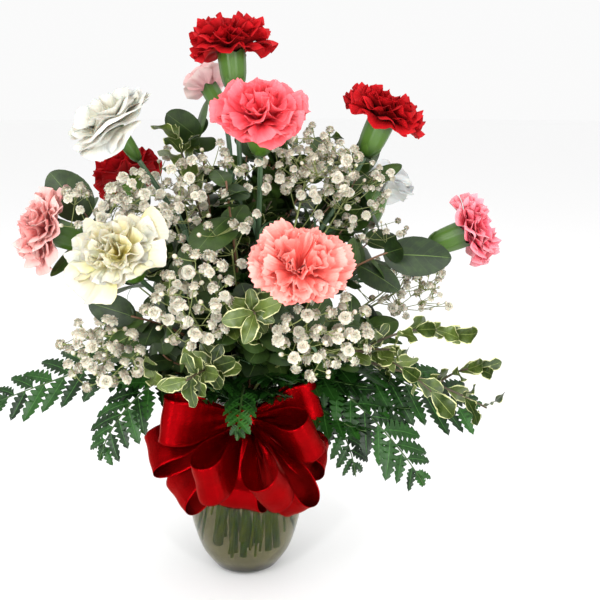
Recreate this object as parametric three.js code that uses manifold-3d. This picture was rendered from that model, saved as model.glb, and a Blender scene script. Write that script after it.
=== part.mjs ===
// Carnations in a clear glass vase, filled out with eucalyptus, variegated pittosporum, leatherleaf fern
// and baby's breath, with a satin bow tied round the neck of the vase.
// Millimetres, +Z up. The origin is the centre of the vase's flat underside. The bow faces -Y.
import * as THREE from "three";
import { mergeVertices } from "three/addons/utils/BufferGeometryUtils.js";
import Module from "manifold-3d";

const wasm = await Module();
wasm.setup();

// Clearance between two pieces that touch, and the least room left between two that only pass.
const SEAT = 0.35;
const APART = 0.6;

// The vase. The knots of its outline are radius and height, from the foot to the lip.
const FOOT_RADIUS = 20;
const VASE_KNOTS = [
  [30, 5.5],
  [38.5, 22.5],
  [45.8, 45],
  [47, 58],
  [43.8, 80],
  [34.8, 110],
  [30.5, 136],
  [38.5, 160],
];
const LIP_Z = VASE_KNOTS.at(-1)[1];
const VASE_SIDES = 20;
const VASE_ROWS = 7;
const GLASS = 2.8;
const FLOOR_Z = 9;
const WALL_FROM = 17;
const NECK_Z = 136;
const WATER_Z = 104;
const OVER_WATER = 3;

// The bundle of stems. It is narrowest at the neck, and each ring of stems leans round it alike, so that
// no two cross: a stem's place at any height is its place at the neck, turned and spread.
const RINGS = [
  { radius: 0, slots: 1 },
  { radius: 7, slots: 6 },
  { radius: 15, slots: 12 },
  { radius: 23, slots: 24 },
];
const LEAN = 0.0078;
const EXIT_Z = 144;
const BEND_STEPS = 6;

// A carnation: its calyx and stem, and a bloom of the usual width, with its centre above the throat.
const CALYX_RADIUS = 11;
const CALYX_LENGTH = 28;
const IN_CALYX = 6;
const CARNATION_KIND = { radius: 2.4, tipRadius: 2, sides: 4 };
const USUAL_ACROSS = 72;
const THROAT_DEPTH = 12;
const COLUMNS = 20;

// The ribbon of the bow, and the point where its loops are gathered.
const RIBBON_WIDTH = 37;
const RIBBON_THICK = 0.8;
const KNOT = new THREE.Vector3(3, -46, 149);
const KNOT_RADIUS = 10;
const TIE_HALF_HEIGHT = 8;
const TIE_THICK = 1.2;

const UP = new THREE.Vector3(0, 0, 1);
const vec = (p) => new THREE.Vector3(...p);
const radians = THREE.MathUtils.degToRad;

// A repeatable number from 0 to 1 for each pair of whole numbers.
function draw(seed, index) {
  const wave = Math.sin(seed * 127.1 + index * 311.7) * 43758.5453;
  return wave - Math.floor(wave);
}

function solidOf(geometry) {
  const bare = new THREE.BufferGeometry();
  bare.setAttribute("position", geometry.getAttribute("position"));
  bare.setIndex(geometry.getIndex());
  const merged = mergeVertices(bare, 1e-3);
  const triVerts = new Uint32Array(merged.getIndex().array);
  const vertProperties = merged.getAttribute("position").array;
  return new wasm.Manifold(new wasm.Mesh({ numProp: 3, vertProperties, triVerts }));
}

function geometryOf(solid) {
  const mesh = solid.getMesh();
  const geometry = new THREE.BufferGeometry();
  geometry.setAttribute("position", new THREE.BufferAttribute(mesh.vertProperties, 3));
  geometry.setIndex(new THREE.BufferAttribute(mesh.triVerts, 1));
  geometry.computeVertexNormals();
  return geometry;
}

// Moves every vertex of a geometry to where the rule puts it.
function warp(geometry, rule) {
  const position = geometry.getAttribute("position");
  const point = new THREE.Vector3();
  for (let i = 0; i < position.count; i += 1) {
    const moved = rule(point.fromBufferAttribute(position, i), i);
    position.setXYZ(i, moved.x, moved.y, moved.z);
  }
  return geometry;
}

// A lathe about Z from [radius, height] pairs that run from the underside, outwards and up.
function latheZ(profile, sides) {
  const points = profile.map(([radius, height]) => new THREE.Vector2(radius, height));
  return new THREE.LatheGeometry(points, sides).rotateX(Math.PI / 2);
}

// Frames along a row of points: the tangent, and two directions across it that turn as little as possible.
function framesAlong(points) {
  const frames = [];
  let across = new THREE.Vector3();
  points.forEach((point, i) => {
    const before = points[Math.max(i - 1, 0)];
    const after = points[Math.min(i + 1, points.length - 1)];
    const into = point.clone().sub(before).normalize();
    const outOf = after.clone().sub(point).normalize();
    const along = into.add(outOf).normalize();
    if (i === 0) across = Math.abs(along.x) < 0.8 ? new THREE.Vector3(1, 0, 0) : new THREE.Vector3(0, 1, 0);
    across = across.clone().addScaledVector(along, -across.dot(along)).normalize();
    frames.push({ point, along, across, over: across.clone().cross(along) });
  });
  return frames;
}

// A round bar through a row of points, with a radius at each.
function tube(points, radii, sides) {
  const frames = framesAlong(points);
  const bar = new THREE.CylinderGeometry(1, 1, 1, sides, points.length - 1);
  return warp(bar, (v) => {
    const row = Math.round((v.y + 0.5) * (points.length - 1));
    const { point, across, over } = frames[row];
    return point.clone().addScaledVector(across, v.x * radii[row]).addScaledVector(over, v.z * radii[row]);
  });
}

// The placed pieces, and the test that a new one keeps clear of all but its own node.
const pieces = [];
const grouped = new THREE.Group();

function boxesMeet(a, b, room) {
  return [0, 1, 2].every((k) => a.min[k] - room < b.max[k] && b.min[k] - room < a.max[k]);
}

function isClear(candidate, room = APART) {
  const box = candidate.boundingBox();
  return pieces.every(
    (other) => !boxesMeet(box, other.box, room) || candidate.minGap(other.solid, room) >= room,
  );
}

function addPiece(name, solid, { colour, roughness, metalness = 0, opacity = 1 }) {
  pieces.push({ name, solid, box: solid.boundingBox() });
  const material = new THREE.MeshStandardMaterial({
    color: colour,
    roughness,
    metalness,
    flatShading: true,
    transparent: opacity < 1,
    opacity,
  });
  const mesh = new THREE.Mesh(geometryOf(solid), material);
  mesh.name = name;
  grouped.add(mesh);
}

// The vase

const vaseOutline = new THREE.SplineCurve(VASE_KNOTS.map(([r, z]) => new THREE.Vector2(r, z)))
  .getPoints(VASE_ROWS)
  .map((p) => [p.x, p.y]);

function vaseRadius(z) {
  const above = vaseOutline.findIndex((p) => p[1] >= z);
  const [r1, z1] = vaseOutline[above];
  if (above === 0) return r1;
  const [r0, z0] = vaseOutline[above - 1];
  return r0 + ((r1 - r0) * (z - z0)) / (z1 - z0);
}

// Inside, the wall turns to the floor round this corner, set in by the given width.
function floorCorner(inset, z) {
  return [vaseRadius(FLOOR_Z + 4) - 2.5 - inset, z + 2];
}

function buildVase() {
  const inside = vaseOutline.filter((p) => p[1] > WALL_FROM).map(([r, z]) => [r - GLASS, z]);
  const outside = [[0, 0], [FOOT_RADIUS, 0], ...vaseOutline];
  const profile = [...outside, ...inside.reverse(), floorCorner(GLASS, FLOOR_Z), [0, FLOOR_Z]];
  return solidOf(latheZ(profile, VASE_SIDES));
}

// The water fills the vase to its level, with a plain hole for each stem.
function buildWater(holes) {
  const inset = GLASS + SEAT + 0.1;
  const bottom = FLOOR_Z + SEAT;
  const wetted = vaseOutline.filter((p) => p[1] > WALL_FROM && p[1] < WATER_Z);
  const wall = wetted.map(([r, z]) => [r - inset, z]);
  const level = [vaseRadius(WATER_Z) - inset, WATER_Z];
  const profile = [[0, bottom], floorCorner(inset, bottom), ...wall, level, [0, WATER_Z]];
  return solidOf(latheZ(profile, VASE_SIDES)).subtract(wasm.Manifold.union(holes));
}

// The bow

// The turn of ribbon round the neck.
function buildTie() {
  const heights = [NECK_Z - TIE_HALF_HEIGHT, NECK_Z + TIE_HALF_HEIGHT];
  const inner = heights.map((z) => [vaseRadius(z) + SEAT, z]);
  const outer = heights.map((z) => [vaseRadius(z) + SEAT + TIE_THICK, z]).reverse();
  return solidOf(latheZ([...inner, ...outer, inner[0]].reverse(), VASE_SIDES));
}

// Each loop: the middle of its turn, the way its ribbon's width lies there, and how wide it gapes. Near
// the knot its ribbon is gathered to a share of its width.
const LOOPS = [
  { tip: [-64, -76, 158], wide: [0.3, 0, 1], gape: 18 },
  { tip: [-77, -50, 118], wide: [-0.2, 0.8, 0.55], gape: 15 },
  { tip: [-54, -58, 83], wide: [-0.5, 0.9, 0.2], gape: 16 },
  { tip: [-32, -116, 118], wide: [0.1, 0.2, -1], gape: 24 },
  { tip: [-2, -60, 76], wide: [-1, 0, 0], gape: 12 },
  { tip: [21, -114, 106], wide: [0.5, 0.2, -1], gape: 28 },
  { tip: [46, -70, 78], wide: [-1, 0, -0.9], gape: 12 },
  { tip: [65, -44, 108], wide: [0.1, 0.9, 0.3], gape: 18 },
  { tip: [52, -98, 148], wide: [0.7, 0.2, -1], gape: 24 },
  { tip: [60, -46, 164], wide: [0.3, 0.1, -1], gape: 13 },
];
const LOOP_STEPS = 8;
const LOOP_START = 0.58;
const GATHERED = 0.1;

function bowLoop({ tip, wide, gape }) {
  const reach = vec(tip).sub(KNOT);
  const out = reach.clone().normalize();
  const across = vec(wide).addScaledVector(out, -out.dot(vec(wide))).normalize();
  const over = out.clone().cross(across);
  const centre = (s) =>
    KNOT.clone()
      .addScaledVector(reach, (1 - Math.cos(s)) / 2)
      .addScaledVector(over, (gape / 2) * Math.sin(s) * Math.sin(s / 2));
  const strip = new THREE.BoxGeometry(1, 1, 1, LOOP_STEPS, 1, 1);
  return warp(strip, (v) => {
    const s = LOOP_START + (v.x + 0.5) * 2 * (Math.PI - LOOP_START);
    const along = centre(s + 0.01).sub(centre(s - 0.01)).normalize();
    const face = along.clone().cross(across);
    const width = RIBBON_WIDTH * Math.min(1, GATHERED + Math.sin(s / 2) ** 2);
    return centre(s).addScaledVector(across, v.y * width).addScaledVector(face, v.z * RIBBON_THICK);
  });
}

// The loops meet in the knot, which a fold of ribbon behind it holds to the neck.
const FOLD_SIZE = [15, 12, 13];
const FOLD_BEHIND = 9;
const FOLD_BELOW = 8;

function buildBow() {
  const knot = new THREE.SphereGeometry(KNOT_RADIUS, 8, 6).translate(...KNOT.toArray());
  const fold = new THREE.BoxGeometry(...FOLD_SIZE);
  fold.translate(KNOT.x, KNOT.y + FOLD_BEHIND, KNOT.z - FOLD_BELOW);
  const bow = wasm.Manifold.union([knot, fold, ...LOOPS.map(bowLoop)].map(solidOf));
  return bow.subtract(neckRoom());
}

// What the bow keeps clear of: the neck with its turn of ribbon, and the lip.
function neckRoom() {
  const heights = [-24, -16, -TIE_HALF_HEIGHT, TIE_HALF_HEIGHT, 16, LIP_Z - NECK_Z].map((z) => NECK_Z + z);
  const wall = heights.map((z) => [vaseRadius(z) + 2 * SEAT + TIE_THICK, z]);
  return solidOf(latheZ([[0, heights[0]], ...wall, [0, LIP_Z + TIE_THICK]], VASE_SIDES));
}

// Stems

// The straight line that a stem follows through the vase, as a point at each height.
function inVase({ ring, slot }) {
  const { radius, slots } = RINGS[ring];
  const turn = (2 * Math.PI * slot) / slots;
  const place = new THREE.Vector3(radius * Math.cos(turn), radius * Math.sin(turn), NECK_Z);
  const lean = new THREE.Vector3(-LEAN * radius * Math.sin(turn), LEAN * radius * Math.cos(turn), 1);
  return (z) => place.clone().addScaledVector(lean, z - NECK_Z);
}

// The bend that a stem makes from the neck to its end, where it arrives along the given direction.
function aboveVase(stem) {
  const line = inVase(stem);
  const exit = line(EXIT_Z);
  const end = vec(stem.end);
  const span = end.distanceTo(exit);
  const rising = line(EXIT_Z + 1).sub(exit).normalize();
  const arriving = vec(stem.along).normalize();
  const first = exit.clone().addScaledVector(rising, span * (stem.rise ?? 0.4));
  const last = end.clone().addScaledVector(arriving, -span * (stem.reach ?? 0.35));
  return new THREE.CubicBezierCurve3(exit, first, last, end);
}

// A stem from its foot in the water to its end, with the given radius up to the neck.
function stemSolid(stem, { radius, tipRadius, sides }) {
  const points = [inVase(stem)(stem.foot), ...aboveVase(stem).getPoints(BEND_STEPS)];
  const radii = points.map((_, i) => {
    const share = Math.max(0, i - 1) / BEND_STEPS;
    return THREE.MathUtils.lerp(radius, tipRadius, share);
  });
  return solidOf(tube(points, radii, sides));
}

// The hole that a stem stands in.
function stemHole(stem, { radius, sides }) {
  const line = inVase(stem);
  const wider = radius + 1.4 * SEAT;
  const ends = [line(stem.foot - 1.5 * SEAT), line(WATER_Z + OVER_WATER)];
  return solidOf(tube(ends, [wider, wider], sides));
}

// Carnations

const RED = "#9c0d16";
const CORAL = "#f4606f";
const SALMON = "#fb8d86";
const CREAM = "#f4f0cf";
const WHITE = "#f6f3e6";
const BLUSH = "#e9b5b8";
const PALE_PINK = "#f0a4a8";
const HOT_PINK = "#ea6a86";
const CARNATIONS = [
  {
    name: "red_top", colour: RED, across: 66, ring: 0, slot: 0,
    at: [-8, 20, 444], faces: [-0.08, 0.1, 1],
  },
  {
    name: "pink_bud", colour: BLUSH, across: 46, ring: 1, slot: 2, reach: 0.12,
    at: [-28, 70, 409], faces: [-0.4, 0.6, 0.7],
  },
  {
    name: "coral", colour: CORAL, across: 72, ring: 1, slot: 5,
    at: [14, -85, 394], faces: [0, -0.56, 0.83],
  },
  {
    name: "white_left", colour: WHITE, across: 70, ring: 1, slot: 3,
    at: [-101, -30, 386], faces: [-0.5, -0.2, 0.8],
  },
  {
    name: "red_left", colour: RED, across: 60, ring: 2, slot: 5,
    at: [-100, 70, 334], faces: [-0.4, 0.5, 0.75],
  },
  {
    name: "pale_pink", colour: PALE_PINK, across: 66, ring: 2, slot: 6,
    at: [-157, -20, 300], faces: [-0.85, -0.25, 0.35],
  },
  {
    name: "cream", colour: CREAM, across: 76, ring: 2, slot: 8,
    at: [-90, -115, 298], faces: [-0.31, -0.71, 0.63],
  },
  {
    name: "salmon", colour: SALMON, across: 73, ring: 2, slot: 10,
    at: [40, -135, 291], faces: [0.12, -0.69, 0.71],
  },
  {
    name: "red_right", colour: RED, across: 68, ring: 1, slot: 0,
    at: [116, 0, 389], faces: [0.4, -0.1, 0.9],
  },
  {
    name: "white_right", colour: WHITE, across: 60, ring: 2, slot: 1,
    at: [121, 80, 323], faces: [0.25, 0.35, 0.9],
  },
  {
    name: "hot_pink", colour: HOT_PINK, across: 63, ring: 2, slot: 0,
    at: [188, -10, 294], faces: [0.85, -0.15, 0.35],
  },
];

// Where a piece stands: its own +Z turned to face the given way.
function facing(at, faces) {
  const turned = new THREE.Quaternion().setFromUnitVectors(UP, faces.clone().normalize());
  return new THREE.Matrix4().compose(at, turned, new THREE.Vector3(1, 1, 1));
}

// The throat, where the bloom sits on its calyx, and how both stand.
function throatOf({ at, faces, across }) {
  const throat = vec(at).addScaledVector(vec(faces).normalize(), (-THROAT_DEPTH * across) / USUAL_ACROSS);
  return { throat, stand: facing(throat, vec(faces)) };
}

// The bloom's outline from under its throat to its crown, as shares of its radius and heights: four
// tiers of petals that stand out of each other, the lowest widest. The last number says how much of the
// tier's teeth and ruffle the row takes.
const BLOOM_ROWS = [
  { out: 0, up: 0, frill: 0, tier: 0 },
  { out: 0.22, up: 0, frill: 0, tier: 0 },
  { out: 0.25, up: 8, frill: 0, tier: 0 },
  { out: 1, up: 8, frill: 1, tier: 0 },
  { out: 0.66, up: 13, frill: 0.3, tier: 0 },
  { out: 0.42, up: 15, frill: 0, tier: 0 },
  { out: 0.86, up: 19.5, frill: 0.9, tier: 1 },
  { out: 0.28, up: 23, frill: 0, tier: 1 },
  { out: 0.62, up: 30, frill: 0.7, tier: 2 },
  { out: 0.17, up: 27, frill: 0, tier: 2 },
  { out: 0.33, up: 34, frill: 0.5, tier: 3 },
  { out: 0, up: 29, frill: 0, tier: 3 },
];
const TEETH = [0.7, 0.99, 0.9, 1];
const RUFFLE = 3.6;

function buildBloom(carnation, seed) {
  const radius = carnation.across / 2;
  const tall = (1 + carnation.across / USUAL_ACROSS) / 2;
  const profile = BLOOM_ROWS.map((row) => [row.out * radius, row.up * tall]);
  const lathe = new THREE.LatheGeometry(profile.map(([x, y]) => new THREE.Vector2(x, y)), COLUMNS);
  const rows = BLOOM_ROWS.length;
  warp(lathe, (v, i) => {
    const row = BLOOM_ROWS[i % rows];
    const column = Math.floor(i / rows) % COLUMNS;
    const tooth = TEETH[(column + 2 * row.tier) % 4];
    const wobble = 0.1 * (draw(seed, 40 * row.tier + column) - 0.5);
    const scale = 1 + row.frill * (tooth - 1 + wobble);
    const turn = (2 * Math.PI * column) / COLUMNS;
    const swell = 1 + 0.05 * Math.sin(2 * turn + seed) * Math.min(1, 2 * row.out);
    const ruffle = RUFFLE * tall * row.frill * Math.sin(column * Math.PI * 0.5 * 1.25 + row.tier + seed);
    v.x *= scale * swell;
    v.z *= scale * swell;
    v.y += ruffle;
    return v;
  });
  return solidOf(lathe.rotateX(Math.PI / 2).applyMatrix4(throatOf(carnation).stand));
}

const CALYX_SIDES = 8;
const CALYX_TOOTH = 4;
const CALYX_PROFILE = [
  [0, -CALYX_LENGTH],
  [4, -CALYX_LENGTH],
  [9.3, -0.55 * CALYX_LENGTH],
  [CALYX_RADIUS, 0],
  [CALYX_RADIUS - 1.3, -SEAT],
  [0, -SEAT],
];
const CALYX_RIM = 3;

function calyxShape() {
  const profile = CALYX_PROFILE.map(([x, y]) => new THREE.Vector2(x, y));
  const calyx = new THREE.LatheGeometry(profile, CALYX_SIDES);
  warp(calyx, (v, i) => {
    const onRim = i % profile.length === CALYX_RIM;
    const pointed = Math.floor(i / profile.length) % 2 === 0;
    if (onRim && pointed) v.y += CALYX_TOOTH;
    return v;
  });
  return calyx.rotateX(Math.PI / 2);
}

// A carnation's stem runs up into its calyx. Its foot stands higher in the outer rings, off the floor's edge.
const FOOT_Z = 13;
const FOOT_STEP = 5;

function carnationStem(carnation) {
  const faces = vec(carnation.faces).normalize();
  const end = throatOf(carnation).throat.addScaledVector(faces, IN_CALYX - CALYX_LENGTH);
  const foot = FOOT_Z + FOOT_STEP * carnation.ring;
  return { ...carnation, foot, end: end.toArray(), along: carnation.faces };
}

function buildCarnationStem(carnation) {
  const calyx = calyxShape().applyMatrix4(throatOf(carnation).stand);
  return wasm.Manifold.union([stemSolid(carnationStem(carnation), CARNATION_KIND), solidOf(calyx)]);
}

// Leaves

// A leaf's own directions: along it, across it, and out of its back.
function leafAxes({ base, tip, back }) {
  const reach = vec(tip).sub(vec(base));
  const along = reach.clone().normalize();
  const across = along.clone().cross(vec(back)).normalize();
  return { reach, along, across, over: across.clone().cross(along) };
}

// A round leaf: a thin lens from its base to its tip, with its widths along the way, a little folded
// along its rib and bowed towards its back.
const ROUND_WIDTHS = [0, 0.72, 1, 0.8, 0];
const ROUND_THICK = 1.2;
const ROUND_BOW = 2.5;
const ROUND_FOLD = 0.15;

function roundLeaf(leaf) {
  const rows = ROUND_WIDTHS.length - 1;
  const { reach, across, over } = leafAxes(leaf);
  return warp(new THREE.SphereGeometry(1, 4, rows), (v) => {
    const share = Math.acos(THREE.MathUtils.clamp(v.y, -1, 1)) / Math.PI;
    const ring = Math.max(Math.sin(Math.PI * share), 1e-6);
    const half = (ROUND_WIDTHS[Math.round(share * rows)] * leaf.width) / 2;
    const edge = half > 0 ? -v.x / ring : 0;
    const face = half > 0 ? v.z / ring : 0;
    const bow = ROUND_BOW * 4 * share * (1 - share);
    return vec(leaf.base)
      .addScaledVector(reach, share)
      .addScaledVector(across, edge * half)
      .addScaledVector(over, bow + (face * ROUND_THICK) / 2 - ROUND_FOLD * half * Math.abs(edge));
  });
}

// A small leaf with a waved edge: half its outline as shares of its length and width.
const WAVED_EDGE = [
  [0, 0],
  [0.32, 0.46],
  [0.74, 0.44],
  [1, 0],
];
const WAVED_THICK = 0.7;
const WAVED_BOW = 2;
const WAVE = 1.3;

function wavedLeaf(leaf) {
  const { reach, along, across, over } = leafAxes(leaf);
  const length = reach.length();
  const far = WAVED_EDGE.slice(1, -1).reverse();
  const outline = [...WAVED_EDGE.map(([x, y]) => [x, -y]), ...far];
  const shape = new THREE.Shape(outline.map(([x, y]) => new THREE.Vector2(x * length, y * leaf.width)));
  const plate = new THREE.ExtrudeGeometry(shape, { depth: WAVED_THICK, bevelEnabled: false });
  return warp(plate, (v) => {
    const share = v.x / length;
    const ripple = 2 * WAVE * Math.sin(9 * share) * (v.y / leaf.width);
    const bow = WAVED_BOW * 4 * share * (1 - share);
    return vec(leaf.base)
      .addScaledVector(along, v.x)
      .addScaledVector(across, -v.y)
      .addScaledVector(over, v.z - WAVED_THICK / 2 + bow + ripple);
  });
}

// Sprigs: a stem with its leaves. Some leaves have a tip of their own; the rest stand round the stem by a
// rule, each turned on until it keeps clear of the other pieces, or left out where no turn does.

const TURNS = 8;
const GOLDEN_TURN = 2.4;

// A point on the straight runs that a stem's tube has between its steps.
function onStem(bend, u) {
  const run = Math.min(Math.floor(u * BEND_STEPS), BEND_STEPS - 1);
  const from = bend.getPoint(run / BEND_STEPS);
  return from.lerp(bend.getPoint((run + 1) / BEND_STEPS), u * BEND_STEPS - run);
}

// A leaf that leaves the stem at a point along it, spread from it and turned round it.
function leafFrom(bend, { u, length, spread, turn }) {
  const base = onStem(bend, u);
  const along = bend.getTangent(u);
  const side = along.clone().cross(UP).normalize();
  const over = side.clone().cross(along);
  const out = side.multiplyScalar(Math.cos(turn)).addScaledVector(over, Math.sin(turn));
  const direction = along.clone().multiplyScalar(Math.cos(spread)).addScaledVector(out, Math.sin(spread));
  const tip = base.clone().addScaledVector(direction, length);
  return { base: base.toArray(), tip: tip.toArray(), back: along.toArray() };
}

function ruledLeaves(bend, { seed, count, from, to, length, width, spread }, make) {
  const leaves = [];
  for (let k = 0; k < count; k += 1) {
    const u = from + ((to - from) * k) / (count - 1);
    const size = 0.8 + 0.35 * draw(seed, 2 * k);
    const lean = spread * (0.8 + 0.4 * draw(seed, 2 * k + 1));
    const turned = (step) => {
      const turn = GOLDEN_TURN * k + seed + (2 * Math.PI * step) / TURNS;
      const leaf = leafFrom(bend, { u, length: length * size, spread: lean, turn });
      return solidOf(make({ ...leaf, width: width * size }));
    };
    const tries = Array.from({ length: TURNS }, (_, step) => step);
    const step = tries.find((each) => isClear(turned(each)));
    if (step !== undefined) leaves.push(turned(step));
  }
  return leaves;
}

function buildSprig(sprig, kind) {
  const bend = aboveVase(sprig);
  const own = (sprig.leaves ?? []).map((leaf) => {
    const base = onStem(bend, leaf.u).toArray();
    return solidOf(kind.make({ back: LEAF_BACK, ...leaf, base }));
  });
  const ruled = ruledLeaves(bend, { ...kind.rule, ...sprig.rule }, kind.make);
  return wasm.Manifold.union([stemSolid(sprig, kind), ...own, ...ruled]);
}

const LEAF_BACK = [0, -0.5, 1];

const EUCALYPTUS_KIND = {
  radius: 1.5,
  tipRadius: 0.8,
  sides: 4,
  rule: { count: 4, from: 0.45, to: 0.92, length: 34, width: 29, spread: radians(62) },
  make: roundLeaf,
};

const EUCALYPTUS = [
  {
    name: "left", ring: 3, slot: 10, foot: 26,
    end: [-130, 14, 308], along: [-0.5, 0.1, 0.85], rule: { seed: 1 },
    leaves: [
      { u: 0.97, tip: [-157, 20, 340], width: 36, back: [0, -1, 0.3] },
      { u: 0.9, tip: [-152, -26, 262], width: 16 },
    ],
  },
  {
    name: "top", ring: 3, slot: 9, foot: 24, end: [-36, 22, 374], along: [-0.2, 0, 1], rule: { seed: 2 },
    leaves: [
      { u: 0.97, tip: [-60, 4, 388], width: 25, back: [0, -1, 0.2] },
      { u: 0.97, tip: [-28, 30, 398], width: 18, back: [-1, -0.5, 0] },
    ],
  },
  {
    name: "middle", ring: 1, slot: 4, foot: 16,
    end: [-12, -58, 340], along: [-0.1, -0.2, 1], rule: { seed: 3 },
    leaves: [
      { u: 0.86, tip: [-34, -96, 292], width: 34, back: [-0.4, -1, 0.3] },
      { u: 0.97, tip: [6, -72, 330], width: 12, back: [0, -1, 0] },
    ],
  },
  {
    name: "right", ring: 3, slot: 22, foot: 26,
    end: [114, -48, 283], along: [0.9, -0.2, 0.35], rule: { seed: 4 },
    leaves: [
      { u: 0.97, tip: [162, -55, 279], width: 34, back: [0, -0.6, 1] },
      { u: 0.85, tip: [118, -76, 258], width: 22, back: [0, -1, 0.6] },
    ],
  },
  {
    name: "upper_right", ring: 1, slot: 1, foot: 16,
    end: [98, 24, 342], along: [0.3, 0, 0.9], rule: { seed: 5 },
    leaves: [
      { u: 0.97, tip: [112, 26, 372], width: 22, back: [0, -1, 0] },
      { u: 0.9, tip: [134, 26, 344], width: 16, back: [0, -0.8, 0.6] },
    ],
  },
  {
    name: "lower_left", ring: 3, slot: 14, foot: 28,
    end: [-84, -82, 242], along: [-0.8, -0.4, 0.3], rule: { seed: 36 },
    leaves: [
      { u: 0.97, tip: [-114, -88, 254], width: 24, back: [0, -1, 0.4] },
      { u: 0.85, tip: [-72, -108, 226], width: 20, back: [0, -1, 0.4] },
    ],
  },
  {
    name: "back", ring: 2, slot: 3, foot: 26, end: [30, 96, 300], along: [0.2, 0.6, 0.8], rule: { seed: 7 },
    leaves: [{ u: 0.97, tip: [40, 122, 330], width: 32, back: [0, 1, 0.4] }],
  },
];

const PITTOSPORUM_KIND = {
  radius: 1.4,
  tipRadius: 0.8,
  sides: 3,
  rule: { count: 6, from: 0.6, to: 0.98, length: 26, width: 12, spread: radians(52) },
  make: wavedLeaf,
};

const PITTOSPORUM = [
  {
    name: "top_left", ring: 2, slot: 4, foot: 26, end: [-52, -8, 372], along: [-0.3, -0.1, 1],
    rule: { seed: 11, from: 0.72 },
  },
  { name: "front", ring: 2, slot: 9, foot: 26, end: [8, -122, 252], along: [0.1, -1, 0], rule: { seed: 12 } },
  {
    name: "front_left", ring: 3, slot: 15, foot: 24, end: [-42, -118, 202], along: [-0.6, -0.8, -0.2],
    rule: { seed: 13 },
  },
  {
    name: "front_right", ring: 3, slot: 19, foot: 24, end: [112, -92, 216], along: [0.8, -0.5, 0.1],
    rule: { seed: 14 },
  },
  {
    name: "right", ring: 3, slot: 1, foot: 26, end: [196, -48, 154], along: [0.85, 0, -0.5],
    rule: { seed: 15, from: 0.62 },
  },
  {
    name: "back", ring: 3, slot: 7, foot: 26,
    end: [-70, 100, 240], along: [-0.5, 0.8, 0.3], rule: { seed: 16 },
  },
];

// Fern fronds: one thin blade, its leaflets cut to the rib, bent along the last stretch of its stem. The
// stem's own tube ends where the blade starts.

const FERN_KIND = { radius: 1.3, sides: 4 };
const FERN_STEPS = 5;
const FERN_THICK = 0.8;
const FERN_RIB = 1.4;
const FERN_DROOP = 0.16;
const BLADE_FROM = 0.42;
const LEAFLET_PAIRS = 5;
const LEAFLET_LEAN = radians(58);

const FERNS = [
  { name: "left", slot: 11, foot: 24, end: [-208, -24, 156], along: [-0.95, 0, -0.35], wing: 40, roll: -42 },
  {
    name: "front_left", slot: 12, foot: 26,
    end: [-113, -76, 126], along: [-0.25, -0.1, -1], wing: 30, roll: -35,
    rise: 0.6, reach: 0.5,
  },
  { name: "front", slot: 17, foot: 24, end: [-6, -118, 156], along: [-0.1, -0.6, -0.8], wing: 16, roll: 0 },
  {
    name: "front_right", slot: 21, foot: 26, end: [92, -30, 90], along: [0.1, 0, -1], wing: 24, roll: 50,
    rise: 0.8, reach: 0.6,
  },
  {
    name: "right_low", slot: 20, foot: 24, end: [145, -58, 92], along: [0.5, -0.1, -0.9], wing: 30, roll: 40,
    rise: 0.6,
  },
  { name: "right", slot: 23, foot: 26, end: [198, -24, 138], along: [0.9, 0, -0.4], wing: 36, roll: 42 },
  { name: "back", slot: 4, foot: 24, end: [30, 150, 150], along: [0.2, 0.8, -0.6], wing: 36, roll: 0 },
].map((fern) => ({ ring: 3, rise: 0.45, reach: 0.4, ...fern }));

// One leaflet's edge as shares of its length and width, out along its near side and back on the far one.
const LEAFLET_EDGE = [
  [0, -0.34],
  [0.4, -0.5],
  [1, 0],
  [0.46, 0.5],
  [0, 0.34],
];

function leafletPoints(root, length, width, side) {
  const edge = side < 0 ? LEAFLET_EDGE : [...LEAFLET_EDGE].reverse();
  return edge.map(([out, off]) => {
    const forward = out * length * Math.cos(LEAFLET_LEAN) + off * width * Math.sin(LEAFLET_LEAN);
    const sideways = out * length * Math.sin(LEAFLET_LEAN) - off * width * Math.cos(LEAFLET_LEAN);
    const half = FERN_RIB / 2;
    return [root + forward, side * Math.max(half, sideways + half)];
  });
}

function frondShape(length, wing) {
  const pitch = (0.86 * length) / LEAFLET_PAIRS;
  const row = (side) =>
    Array.from({ length: LEAFLET_PAIRS }, (_, i) => {
      const size = 0.35 + 0.65 * Math.sin((Math.PI * (i + 1.4)) / (LEAFLET_PAIRS + 1.6));
      return leafletPoints(pitch * (i + 0.45), wing * size, 0.86 * pitch, side);
    });
  const near = row(-1).flat();
  const far = row(1).reverse().flat();
  const points = [[0, -FERN_RIB / 2], ...near, [length, 0], ...far, [0, FERN_RIB / 2]];
  return new THREE.Shape(points.map(([x, y]) => new THREE.Vector2(x, y)));
}

function buildFern(fern) {
  const bend = aboveVase(fern);
  const length = (1 - BLADE_FROM) * bend.getLength();
  const outline = frondShape(length, fern.wing);
  const flat = new THREE.ExtrudeGeometry(outline, { depth: FERN_THICK, bevelEnabled: false });
  const frond = warp(flat, (v) => {
    const u = BLADE_FROM + (1 - BLADE_FROM) * (v.x / length);
    const along = bend.getTangent(u);
    const side = along.clone().cross(UP).normalize().applyAxisAngle(along, radians(fern.roll));
    const face = side.clone().cross(along);
    const droop = (FERN_DROOP * v.y * v.y) / fern.wing;
    return bend
      .getPoint(u)
      .addScaledVector(side, -v.y)
      .addScaledVector(face, v.z - FERN_THICK / 2 - droop);
  });
  const points = [inVase(fern)(fern.foot)];
  for (let i = 0; i <= FERN_STEPS; i += 1) points.push(bend.getPoint((BLADE_FROM * i) / FERN_STEPS));
  const radii = points.map(() => FERN_KIND.radius);
  return wasm.Manifold.union([solidOf(tube(points, radii, FERN_KIND.sides)), solidOf(frond)]);
}

// Baby's breath: thin twigs off each stem, which end in small puffs, with more twigs and puffs off those.
// Each is drawn anew until it keeps clear of the other pieces and of the puffs round it, or left out.

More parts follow.
